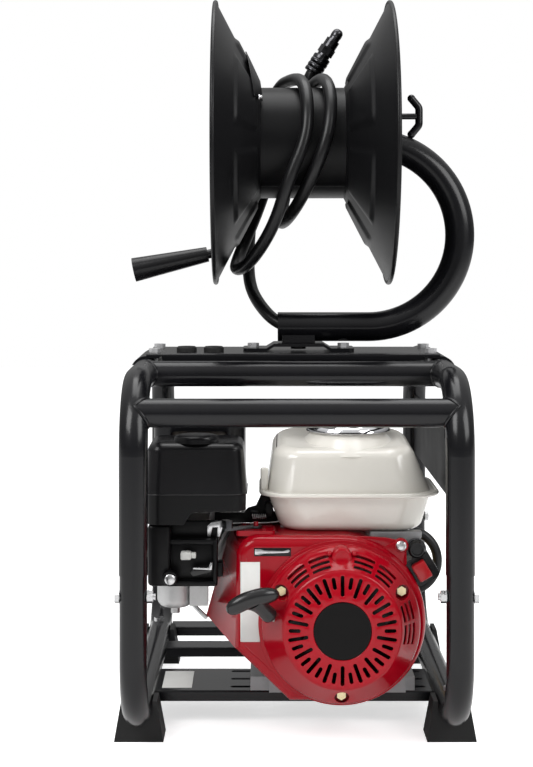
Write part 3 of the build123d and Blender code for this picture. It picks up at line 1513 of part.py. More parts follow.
def biarc(start, start_dir, finish, finish_dir):
    """Two tangent arcs from start to finish, and the radii that they have."""
    chord = finish - start
    a = 2 * (1 - start_dir.dot(finish_dir))
    b = 2 * chord.dot(start_dir + finish_dir)
    c = -chord.dot(chord)
    reach = (-b + sqrt(b * b - 4 * a * c)) / (2 * a) if a > 1e-9 else -c / b
    corner_in = start + start_dir * reach
    corner_out = finish - finish_dir * reach
    middle = (corner_in + corner_out) * 0.5
    middle_dir = (corner_out - corner_in).normalized()
    first = TangentArc(start, middle, tangent=start_dir)
    second = TangentArc(middle, finish, tangent=middle_dir)
    return [first.radius, second.radius]


hose_rest = drum_od / 2 + hose_od / 2 + 2.2
loops = [
    (0, -8, 0),
    (30, 2, 0),
    (60, 6, 0),
    (90, 3, 1),
    (120, -18, 18),
    (150, -46, 50),
    (180, -70, 70),
    (210, -68, 56),
    (240, -50, 28),
    (270, -26, 6),
    (300, -6, 1),
    (330, 10, 0),
    (360, 25, 0),
    (390, 33, 0),
    (420, 36, 0),
    (450, 30, 1),
    (480, 12, 5),
    (510, -9, 14),
    (540, -27, 22),
    (570, -28, 26),
    (600, -19, 25),
    (630, -8, 22),
]
hose_start = hose_mouth - mouth_dir * 22
stations = [
    hose_mouth,
    place(-64, reel_mid + 52, arm_low + 40),
    place(-60, reel_mid + 112, arm_low + 86),
    place(-53, reel_mid + 136, arm_low + 158),
    place(-40, reel_mid + 122, axle_z + 8),
    round_drum(-42, -34, hose_rest + 22),
    *[round_drum(turn, x, hose_rest + lift) for turn, x, lift in loops],
    place(20, reel_mid + 92, axle_z + 88),
]
coupler_dir = Vector(39, -4, 60).normalized()
hose_end = stations[-1] + coupler_dir * hose_od
with BuildPart() as jumper_hose:
    with BuildLine() as hose_path:
        Line(hose_start, hose_mouth)
        directions = [mouth_dir]
        for before, after in zip(stations[:-2], stations[2:]):
            directions.append((after - before).normalized())
        directions.append(coupler_dir)
        hose_radii = []
        bends = zip(stations[:-1], directions[:-1], stations[1:], directions[1:])
        for start, leaving, end, arriving in bends:
            hose_radii += biarc(start, leaving, end, arriving)
        Line(stations[-1], hose_end)
    with BuildSketch(Plane(hose_start, z_dir=mouth_dir)):
        Circle(hose_od / 2)
    sweep()
write(jumper_hose.part, "jumper_hose")

hose_line = hose_path.wires()[0]
hose_length = hose_line.length
hose_points = [hose_line @ (step / 400) for step in range(401)]
step_length = hose_length / 400
skip = int(4 * hose_od / step_length)
least = min(
    (hose_points[i] - hose_points[j]).length - hose_od
    for i in range(401)
    for j in range(i + skip, 401)
)
print("jumper hose length", round(hose_length), "least radius", round(min(hose_radii)))
print("self gap", round(least, 1))
print("volume against section", round(jumper_hose.part.volume / (pi * hose_od**2 / 4 * hose_length), 4))

# Ferrule and coupler on the hose's free end
coupler_plane = Plane(hose_end + coupler_dir * seat_gap, z_dir=coupler_dir)
with BuildPart() as hose_coupler:
    for start, height, radius in ((0, 26, 11.5), (26, 4, 9)):
        with BuildSketch(coupler_plane.offset(start)):
            Circle(radius)
        extrude(amount=height)
    with BuildSketch(coupler_plane.offset(30)):
        RegularPolygon(11, 6)
    extrude(amount=11)
    for start, height, radius in ((41, 12, 9.5), (53, 5, 7.2), (58, 7, 6.9)):
        with BuildSketch(coupler_plane.offset(start)):
            Circle(radius)
        extrude(amount=height)
    with BuildSketch(coupler_plane.offset(65)):
        Circle(3.5)
    extrude(amount=-30, mode=Mode.SUBTRACT)
write(hose_coupler.part, "hose_coupler")

print("cage offset", round(cage_x, 3), "parts", len(os.listdir("parts")))
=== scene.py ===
"""Looks of a gas pressure washer with a hose reel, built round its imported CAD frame."""

from __future__ import annotations

import logging
import math
from collections.abc import Sequence
from dataclasses import dataclass
from enum import Enum
from typing import ClassVar

import bmesh
import bpy
from bmesh.types import BMEdge, BMesh, BMVert
from mathutils import Matrix, Vector

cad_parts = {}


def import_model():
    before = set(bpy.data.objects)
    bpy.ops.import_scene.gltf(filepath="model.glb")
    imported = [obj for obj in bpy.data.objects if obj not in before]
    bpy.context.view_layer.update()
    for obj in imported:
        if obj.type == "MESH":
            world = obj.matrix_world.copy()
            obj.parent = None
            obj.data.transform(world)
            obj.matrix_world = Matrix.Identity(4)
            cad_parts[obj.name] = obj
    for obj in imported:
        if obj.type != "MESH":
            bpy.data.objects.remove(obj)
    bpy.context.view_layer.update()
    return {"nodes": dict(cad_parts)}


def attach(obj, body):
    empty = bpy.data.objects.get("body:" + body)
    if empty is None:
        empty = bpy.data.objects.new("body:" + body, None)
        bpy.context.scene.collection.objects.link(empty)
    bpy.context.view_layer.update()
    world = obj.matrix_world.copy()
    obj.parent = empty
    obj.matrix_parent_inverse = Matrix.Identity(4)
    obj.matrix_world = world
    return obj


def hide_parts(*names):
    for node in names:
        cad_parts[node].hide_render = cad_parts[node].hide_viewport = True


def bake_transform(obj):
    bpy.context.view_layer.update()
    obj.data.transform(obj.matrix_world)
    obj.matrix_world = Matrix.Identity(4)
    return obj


LOG = logging.getLogger("washer")

Triple = tuple[float, float, float]
Line = Sequence[tuple[float, float]]
Rim = list[BMEdge]

# Metres in a millimetre, and in millimetres where the cage's mid-plane and front legs lie in the
# CAD frame, and from these the reel's middle, its axle and the crankshaft.
MM = 0.001
CAGE_X, HALF_DEPTH = -11.575, 289.4
REEL_X, AXLE_Z = 13.0, 725.5
CRANK_X, CRANK_Z = 53.0, 147.0
RIGHT, BACK, UP = Vector((1, 0, 0)), Vector((0, 1, 0)), Vector((0, 0, 1))
# Points nearer than the gap are one, in metres. Edges past the first angle shade crisp, and
# those past the second are rounded off, in radians.
WELD_GAP = 2e-6
CRISP_ANGLE = math.radians(38)
CORNER_ANGLE = 0.9
WHITE = (1.0, 1.0, 1.0, 1.0)
# Steps round each corner of a rounded outline.
CORNER_STEPS = 12


def at(x: float, depth: float, z: float) -> Vector:
    """A point in metres from millimetres off the cage's mid-plane, front legs and floor."""
    return Vector(((CAGE_X + x) * MM, (depth - HALF_DEPTH) * MM, z * MM))


def round_crank(radius: float, angle: float, depth: float) -> Vector:
    """A point in metres round the crankshaft, its angle in degrees up from the right."""
    turn = math.radians(angle)
    return at(CRANK_X + radius * math.cos(turn), depth, CRANK_Z + radius * math.sin(turn))


def round_axle(x: float, radius: float, angle: float) -> Vector:
    """A point in metres round the reel's axle, its angle in degrees up from the front."""
    turn = math.radians(angle)
    return at(REEL_X + x, HALF_DEPTH - radius * math.cos(turn), AXLE_Z + radius * math.sin(turn))


def feed(node: bpy.types.Node, inputs: dict[str | int, object]) -> bpy.types.Node:
    """Set a node's inputs, or link those that are given another node's output.

    Args:
        node: The node.
        inputs: A value or an output for each input.

    Returns:
        The node.
    """
    for key, value in inputs.items():
        if isinstance(value, bpy.types.NodeSocket):
            node.id_data.links.new(value, node.inputs[key])
        else:
            node.inputs[key].default_value = value
    return node


def add_node(
    tree: bpy.types.NodeTree,
    kind: str,
    inputs: dict[str | int, object],
) -> bpy.types.Node:
    """A new shader node with its inputs set or linked."""
    return feed(tree.nodes.new(f"ShaderNode{kind}"), inputs)


class Lay(Enum):
    """How a finish's fine relief is laid."""

    PEEL = "orange peel"
    SPECKLE = "speckle"
    BRUSHED = "brushed"


@dataclass(frozen=True)
class Relief:
    """A surface's fine relief."""

    lay: Lay
    scale: float
    strength: float
    depth: float = 0.0004

    def normal(self, place: bpy.types.NodeSocket) -> bpy.types.NodeSocket:
        """Build the relief's nodes.

        Args:
            place: The coordinates that it follows.

        Returns:
            The output for the shader's normal.
        """
        tree = place.id_data
        if self.lay is Lay.BRUSHED:
            stretch = add_node(tree, "Mapping", {"Scale": (1.0, 1.0, 0.04), "Vector": place})
            place = stretch.outputs["Vector"]
        detail = 2.0 if self.lay is Lay.PEEL else 5.0
        fine = add_node(tree, "TexNoise", {"Scale": self.scale, "Detail": detail, "Vector": place})
        bump = add_node(tree, "Bump", {
            "Strength": self.strength, "Distance": self.depth, "Height": fine.outputs["Fac"],
        })
        return bump.outputs["Normal"]


@dataclass(frozen=True)
class Finish:
    """A surface: its colour, how it varies, its gloss and its relief.

    The slot names the material slot meant for new pieces; nothing in this script reads it. A
    finish of CAD nodes alone has none.
    """

    name: str
    colour: Triple
    shade: Triple
    roughness: tuple[float, float]
    slot: str = ""
    relief: Relief | None = None
    metallic: float = 0.0
    coat: float = 0.0
    coat_roughness: float = 0.1
    specular: float = 0.5
    patch_scale: float = 9.0

    def material(self) -> bpy.types.Material:
        """Build the node material, or give the one already built.

        Returns:
            The material.
        """
        found = bpy.data.materials.get(self.name)
        if found:
            return found
        mat = bpy.data.materials.new(self.name)
        mat.use_nodes = True
        tree = mat.node_tree
        place = tree.nodes.new("ShaderNodeTexCoord").outputs["Object"]
        patches = add_node(tree, "TexNoise", {
            "Scale": self.patch_scale, "Detail": 7.0, "Roughness": 0.62, "Vector": place,
        }).outputs["Fac"]
        ramp = add_node(tree, "ValToRGB", {"Fac": patches})
        low, high = ramp.color_ramp.elements
        low.position, low.color = 0.32, (*self.shade, 1.0)
        high.position, high.color = 0.68, (*self.colour, 1.0)
        gloss = add_node(tree, "MapRange", {
            "Value": patches, "From Min": 0.3, "From Max": 0.7,
            "To Min": self.roughness[0], "To Max": self.roughness[1],
        })
        shader = feed(tree.nodes["Principled BSDF"], {
            "Metallic": self.metallic, "Coat Weight": self.coat,
            "Coat Roughness": self.coat_roughness, "Specular IOR Level": self.specular,
            "Base Color": ramp.outputs["Color"], "Roughness": gloss.outputs["Result"],
        })
        if self.relief:
            feed(shader, {"Normal": self.relief.normal(place)})
        return mat


POWDER_PEEL = Relief(Lay.PEEL, 700.0, 0.14)
REEL_PEEL = Relief(Lay.PEEL, 900.0, 0.14)
CASE_GRAIN = Relief(Lay.SPECKLE, 1800.0, 0.16)
PLASTIC_GRAIN = Relief(Lay.SPECKLE, 1500.0, 0.1)
ZINC_BRUSHING = Relief(Lay.BRUSHED, 900.0, 0.1)
SAND_CAST = Relief(Lay.SPECKLE, 520.0, 0.4, 0.0006)

POWDER_BLACK = Finish(
    "powder_black", (0.0045, 0.0045, 0.0058), (0.003, 0.003, 0.0036), (0.18, 0.26),
    "black_coat", POWDER_PEEL, specular=0.27, coat=0.1, coat_roughness=0.14,
)
PANEL_BLACK = Finish(
    "panel_black", (0.0062, 0.0062, 0.0072), (0.004, 0.004, 0.0047), (0.5, 0.6),
    relief=POWDER_PEEL, specular=0.1,
)
REEL_BLACK = Finish(
    "reel_black", (0.0065, 0.0065, 0.0071), (0.0045, 0.0045, 0.005), (0.29, 0.38),
    "black_coat", REEL_PEEL, specular=0.21,
)
DRUM_BLACK = Finish(
    "drum_black", (0.0042, 0.0042, 0.0047), (0.003, 0.003, 0.0034), (0.32, 0.42),
    "black_coat", REEL_PEEL, specular=0.14,
)
ENGINE_RED = Finish(
    "engine_red", (0.31, 0.001, 0.008), (0.26, 0.0008, 0.0065), (0.13, 0.18),
    "red_coat", Relief(Lay.PEEL, 260.0, 0.05), specular=0.18, coat=0.14, coat_roughness=0.05,
)
TANK_WHITE = Finish(
    "tank_white", (0.715, 0.69, 0.635), (0.675, 0.65, 0.595), (0.2, 0.28),
    "white_coat", Relief(Lay.PEEL, 240.0, 0.04), coat=0.5, coat_roughness=0.08,
)
CHROME = Finish(
    "chrome_plate", (0.78, 0.78, 0.80), (0.70, 0.70, 0.72), (0.06, 0.16),
    "chrome", metallic=1.0, patch_scale=30.0,
)
BLACK_PLASTIC = Finish(
    "moulded_black", (0.0062, 0.006, 0.0068), (0.0045, 0.0044, 0.005), (0.2, 0.27),
    "black_plastic", CASE_GRAIN, specular=0.3,
)
CASE_BLACK = Finish(
    "moulded_case", (0.0042, 0.0041, 0.0045), (0.003, 0.003, 0.0033), (0.26, 0.34),
    "black_plastic", CASE_GRAIN, specular=0.16,
)
DARK_PLASTIC = Finish(
    "moulded_dark", (0.012, 0.0117, 0.012), (0.009, 0.009, 0.0094), (0.2, 0.27),
    "dark_plastic", Relief(Lay.SPECKLE, 1500.0, 0.14), specular=0.4,
)
PALE_PLASTIC = Finish(
    "moulded_pale", (0.50, 0.50, 0.48), (0.43, 0.43, 0.41), (0.36, 0.45),
    "dark_plastic", PLASTIC_GRAIN,
)
BADGE_BLACK = Finish(
    "badge_black", (0.0055, 0.005, 0.005), (0.004, 0.0038, 0.0038), (0.34, 0.42),
    relief=Relief(Lay.PEEL, 400.0, 0.06), specular=0.1,
)
RED_PLASTIC = Finish(
    "moulded_red", (0.32, 0.004, 0.008), (0.27, 0.003, 0.006), (0.26, 0.34),
    "red_plastic", PLASTIC_GRAIN,
)
RUBBER = Finish(
    "black_rubber", (0.013, 0.013, 0.0132), (0.009, 0.009, 0.0092), (0.5, 0.65),
    relief=Relief(Lay.SPECKLE, 1100.0, 0.3), specular=0.28,
)
HOSE_RUBBER = Finish(
    "hose_rubber", (0.0068, 0.0068, 0.0075), (0.0045, 0.0045, 0.005), (0.28, 0.38),
    "rubber", Relief(Lay.SPECKLE, 700.0, 0.18), specular=0.3, patch_scale=22.0,
)
ZINC = Finish(
    "zinc_plate", (0.66, 0.66, 0.66), (0.48, 0.48, 0.49), (0.2, 0.38),
    "zinc", ZINC_BRUSHING, metallic=1.0, patch_scale=60.0,
)
BRIGHT_ZINC = Finish(
    "bright_zinc", (0.80, 0.80, 0.81), (0.62, 0.62, 0.63), (0.22, 0.42),
    relief=ZINC_BRUSHING, metallic=0.7, patch_scale=60.0,
)
YELLOW_ZINC = Finish(
    "yellow_zinc", (0.70, 0.60, 0.38), (0.52, 0.44, 0.26), (0.2, 0.36),
    relief=Relief(Lay.BRUSHED, 900.0, 0.08), metallic=1.0, patch_scale=70.0,
)
DARK_NICKEL = Finish(
    "dark_nickel", (0.085, 0.085, 0.09), (0.03, 0.03, 0.032), (0.14, 0.3),
    "zinc", Relief(Lay.BRUSHED, 700.0, 0.12), metallic=1.0, patch_scale=80.0,
)
CAST_ALUMINIUM = Finish(
    "cast_aluminium", (0.58, 0.58, 0.58), (0.42, 0.42, 0.42), (0.42, 0.6),
    relief=SAND_CAST, metallic=0.9, patch_scale=26.0,
)
CASE_GREY = Finish(
    "case_grey", (0.34, 0.34, 0.345), (0.24, 0.24, 0.245), (0.45, 0.62),
    "aluminium", SAND_CAST, metallic=0.9, patch_scale=26.0,
)
BRASS = Finish(
    "forged_brass", (0.72, 0.50, 0.20), (0.55, 0.36, 0.13), (0.28, 0.46),
    relief=Relief(Lay.SPECKLE, 420.0, 0.18), metallic=1.0, patch_scale=34.0,
)
HOT_STEEL = Finish(
    "hot_steel", (0.30, 0.28, 0.26), (0.16, 0.13, 0.11), (0.4, 0.62),
    relief=Relief(Lay.SPECKLE, 500.0, 0.2), metallic=1.0, patch_scale=20.0,
)
ROPE_GREY = Finish(
    "rope_grey", (0.36, 0.36, 0.34), (0.2, 0.2, 0.19), (0.7, 0.85),
    "cord", Relief(Lay.SPECKLE, 900.0, 0.6), patch_scale=500.0,
)
LABEL_WHITE = Finish(
    "label_white", (0.66, 0.66, 0.64), (0.61, 0.61, 0.59), (0.35, 0.45),
    "white_coat", patch_scale=40.0,
)

NODE_FINISHES: dict[Finish, tuple[str, ...]] = {
    POWDER_BLACK: (
        "base_channels", "engine_plate", "front_crossbar", "lower_hoop_left", "lower_hoop_right",
        "upper_hoop_left", "upper_hoop_right", "top_crossbars", "top_plate", "reel_arm", "crank",
        # The flywheel wears the cage's black as painted shade: it darkens what shows through the
        # recoil cover's slots.
        "reel_bracket", "arm_block", "muffler_guard", "lock_screw", "flywheel",
    ),
    PANEL_BLACK: ("side_panel",),
    REEL_BLACK: ("reel_flange_left", "reel_flange_right"),
    DRUM_BLACK: ("reel_drum",),
    ENGINE_RED: ("fan_cover", "recoil_cover"),
    TANK_WHITE: ("fuel_tank",),
    CHROME: ("fuel_cap",),
    BLACK_PLASTIC: ("cleaner_cover", "engine_switch", "unloader_knob", "oil_cap", "crank_grip"),
    CASE_BLACK: ("control_cover", "cleaner_case"),
    BADGE_BLACK: ("recoil_badge",),
    DARK_PLASTIC: ("starter_grip", "choke_lever", "fuel_lever", "recoil_pulley"),
    RED_PLASTIC: ("switch_knob",),
    RUBBER: ("rubber_feet", "nozzle_grommets"),
    ZINC: ("frame_bolts", "water_inlet", "pressure_outlet", "crankshaft", "reel_axle"),
    BRIGHT_ZINC: ("plate_bolts",),
    YELLOW_ZINC: ("engine_bolts", "recoil_bolts"),
    DARK_NICKEL: ("hose_coupler", "throttle_lever"),
    CAST_ALUMINIUM: ("carburettor", "cylinder", "rocker_cover", "pump_case"),
    CASE_GREY: ("crankcase",),
    BRASS: ("pump_manifold", "unloader"),
    HOT_STEEL: ("muffler",),
}


def dress_nodes(nodes: dict[str, bpy.types.Object]) -> None:
    """Give every CAD node its finish.

    Args:
        nodes: The CAD objects by name.
    """
    for finish, names in NODE_FINISHES.items():
        for name in names:
            mesh = nodes[name].data
            mesh.materials.clear()
            mesh.materials.append(finish.material())


def placed(name: str, data: bpy.types.ID) -> bpy.types.Object:
    """A new object in the scene.

    Args:
        name: Its name.
        data: Its mesh, curve, lamp or camera.

    Returns:
        The object.
    """
    made = bpy.data.objects.new(name, data)
    bpy.context.scene.collection.objects.link(made)
    return made


def settle(
    data: bpy.types.ID,
    finish: Finish,
    body: str = "machine",
) -> bpy.types.Object:
    """Put a finished mesh or curve in the scene under its own name and let it ride.

    Args:
        data: The mesh or curve, which has the piece's name.
        finish: The piece's finish.
        body: The CAD body that it moves with.

    Returns:
        The piece.
    """
    piece = placed(data.name, data)
    data.materials.append(finish.material())
    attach(piece, body)
    LOG.info("%s rides on %s", piece.name, body)
    return piece


def tube(
    name: str,
    runs: list[list[Vector]],
    diameter: float,
    closed: bool = False,
) -> bpy.types.Curve:
    """A round curve: NURBS lines with routes' points as control points, or closed beads.

    Args:
        name: The curve's name.
        runs: Each run's points in metres.
        diameter: The section's diameter in millimetres.
        closed: Whether the runs are closed loops.

    Returns:
        The curve.
    """
    curve = bpy.data.curves.new(name, "CURVE")
    curve.dimensions = "3D"
    curve.bevel_depth = diameter / 2 * MM
    curve.bevel_resolution = 3 if closed else 6
    curve.use_fill_caps = not closed
    for run in runs:
        spline = curve.splines.new("POLY" if closed else "NURBS")
        spline.points.add(len(run) - 1)
        for control, point in zip(spline.points, run):
            control.co = (*point, 1.0)
        spline.use_cyclic_u = closed
        if not closed:
            spline.order_u = 3
            spline.use_endpoint_u = True
            spline.resolution_u = 12
    return curve


def add_piece(
    shape: BMesh,
    name: str,
    finish: Finish,
    body: str = "machine",
) -> bpy.types.Object:
    """Close a bmesh and make it a smooth piece of the scene with crisp edges.

    Args:
        shape: The bmesh, which is freed.
        name: The piece's name.
        finish: Its finish.
        body: The CAD body that it moves with.

    Returns:
        The piece.
    """
    bmesh.ops.remove_doubles(shape, verts=shape.verts, dist=WELD_GAP)
    bmesh.ops.recalc_face_normals(shape, faces=shape.faces)
    mesh = bpy.data.meshes.new(name)
    shape.to_mesh(mesh)
    shape.free()
    mesh.shade_smooth()
    mesh.set_sharp_from_angle(angle=CRISP_ANGLE)
    return settle(mesh, finish, body)


def soften(shape: BMesh, edges: Rim, width: float, segments: int = 3) -> None:
    """Round off edges.

    Args:
        shape: The bmesh.
        edges: The edges to round.
        width: The rounding in millimetres.
        segments: The number of facets across it.
    """
    bmesh.ops.bevel(
        shape, geom=edges, offset=width * MM, offset_type="OFFSET", segments=segments,
        profile=0.5, affect="EDGES", clamp_overlap=True, material=-1,
    )


def edges_of(verts: list[BMVert]) -> Rim:
    """The edges that run between some vertices."""
    kept = set(verts)
    return list(dict.fromkeys(e for v in verts for e in v.link_edges if e.other_vert(v) in kept))


def loop_edges(shape: BMesh, points: list[Vector]) -> Rim:
    """A closed loop of new edges through some points."""
    verts = [shape.verts.new(point) for point in points]
    return [shape.edges.new(pair) for pair in zip(verts, [*verts[1:], verts[0]])]


def corner_edges(shape: BMesh) -> Rim:
    """The edges where two faces meet at a corner."""
    inner = [e for e in shape.edges if len(e.link_faces) == 2]
    return [e for e in inner if e.calc_face_angle() > CORNER_ANGLE]


def spun(profile: Line, centre: Vector, axis: Vector, steps: int = 40) -> BMesh:
    """A turned form.

    Args:
        profile: Millimetres along the axis and out from it, in order.
        centre: Where the axis starts, in metres.
        axis: Its direction.
        steps: The number of facets round it.

    Returns:
        The bmesh.
    """
    axis = axis.normalized()
    side = axis.orthogonal().normalized()
    shape = bmesh.new()
    verts = [shape.verts.new(centre + (axis * a + side * r) * MM) for a, r in profile]
    edges = [shape.edges.new(pair) for pair in zip(verts, verts[1:])]
    bmesh.ops.spin(
        shape, geom=[*verts, *edges], cent=centre, axis=axis, angle=math.tau, steps=steps,
        use_merge=True, use_duplicate=False,
    )
    return shape


def merge_into(target: BMesh, extra: BMesh) -> None:
    """Put one bmesh into another and free it.

    Args:
        target: The bmesh that grows.
        extra: The bmesh that it takes in.
    """
    mesh = bpy.data.meshes.new("loose")
    extra.to_mesh(mesh)
    extra.free()
    target.from_mesh(mesh)
    bpy.data.meshes.remove(mesh)


def sheet_modifiers(piece: bpy.types.Object, wall: float, rounding: float = 0.0) -> None:
    """Give a sheet its wall, inwards, and rounded edges where it has them.

    Args:
        piece: The sheet.
        wall: Its thickness in millimetres.
        rounding: The rounding of its edges in millimetres.
    """
    thick = piece.modifiers.new("wall", "SOLIDIFY")
    thick.thickness = wall * MM
    thick.offset = -1.0
    if rounding:
        soft = piece.modifiers.new("edges", "BEVEL")
        soft.width = rounding * MM
        soft.segments = 2
        soft.limit_method = "ANGLE"
        soft.angle_limit = math.radians(50)


def rounded_box(low: Triple, high: Triple, rounding: float) -> BMesh:
    """A box with rounded edges.

    Args:
        low: Its lowest corner in millimetres.
        high: Its highest corner in millimetres.
        rounding: The rounding in millimetres.

    Returns:
        The bmesh.
    """
    start, end = at(*low), at(*high)
    place = Matrix.Translation((start + end) / 2) @ Matrix.Diagonal((*(end - start), 1.0))
    shape = bmesh.new()
    verts = bmesh.ops.create_cube(shape, size=1.0, matrix=place)["verts"]
    soften(shape, edges_of(verts), rounding)
    return shape


def slab(outline: list[Vector], push: Vector, rounding: float = 0.0) -> BMesh:
    """A flat outline drawn out into a solid, its edges rounded where there is a rounding.

    Args:
        outline: The outline in metres, in order.
        push: How far and which way it is drawn out.
        rounding: The rounding in millimetres.

    Returns:
        The bmesh.
    """
    shape = bmesh.new()
    face = shape.faces.new([shape.verts.new(point) for point in outline])
    made = bmesh.ops.extrude_face_region(shape, geom=[face])["geom"]
    bmesh.ops.translate(shape, verts=[g for g in made if isinstance(g, BMVert)], vec=push)
    bmesh.ops.recalc_face_normals(shape, faces=shape.faces)
    if rounding:
        soften(shape, corner_edges(shape), rounding, 2)
    return shape


def plate(flat: Line, depth: float, thick: float, rounding: float) -> BMesh:
    """A plate across the cage, from its outline as seen from the front, in millimetres."""
    return slab([at(x, depth, z) for x, z in flat], BACK * (thick * MM), rounding)


def ellipse(centre: Vector, across: Vector, up: Vector, count: int = 36) -> list[Vector]:
    """Points round an ellipse with two half axes, in order."""
    turns = [math.tau * step / count for step in range(count)]
    return [centre + across * math.cos(turn) + up * math.sin(turn) for turn in turns]


def lofted(rings: list[list[Vector]]) -> BMesh:
    """A closed form through rings that have the same number of points.

    Args:
        rings: The rings in order, in metres.

    Returns:
        The bmesh.
    """
    shape = bmesh.new()
    rows = [loop_edges(shape, ring) for ring in rings]
    for low, high in zip(rows, rows[1:]):
        bmesh.ops.bridge_loops(shape, edges=[*low, *high])
    for end in (rows[0], rows[-1]):
        bmesh.ops.contextual_create(shape, geom=end)
    return shape


def flange_bolt(seat: Vector, axis: Vector, flats: float) -> BMesh:
    """The head of a hexagon flange bolt.

    Args:
        seat: The middle of its seat in metres.
        axis: Which way the head stands.
        flats: Its width across flats in millimetres.

    Returns:
        The bmesh.
    """
    rim, neck, corner, tall = flats * 0.82, flats * 0.62, flats * 0.577, flats * 0.56
    shape = spun(((0, 0), (0, rim), (1.0, rim), (2.2, neck), (2.2, 0)), seat, axis)
    middle = Matrix.Translation(seat + axis.normalized() * (2.0 + tall / 2) * MM)
    verts = bmesh.ops.create_cone(
        shape, cap_ends=True, segments=6, radius1=corner * MM, radius2=corner * MM,
        depth=tall * MM, matrix=middle @ axis.to_track_quat("Z", "Y").to_matrix().to_4x4(),
    )["verts"]
    soften(shape, edges_of(verts), 0.6, 2)
    return shape


def rounded_outline(low: Triple, right: float, back: float, corner: float) -> list[Vector]:
    """Points round a level rectangle with rounded corners.

    Args:
        low: Its left front corner in millimetres.
        right: Its right edge.
        back: Its back edge.
        corner: Its corners' radius.

    Returns:
        The points in metres, in order.
    """
    left, front, z = low
    middles = (
        (right - corner, back - corner), (left + corner, back - corner),
        (left + corner, front + corner), (right - corner, front + corner),
    )
    points = []
    for quarter, (x, depth) in enumerate(middles):
        for step in range(CORNER_STEPS + 1):
            turn = math.pi / 2 * (quarter + step / CORNER_STEPS)
            points.append(at(x + corner * math.cos(turn), depth + corner * math.sin(turn), z))
    return points


def smooth_step(low: float, high: float, value: float) -> float:
    """A rise from 0 at low to 1 at high, level at both ends."""
    part = min(max((value - low) / (high - low), 0.0), 1.0)
    return part * part * (3.0 - 2.0 * part)


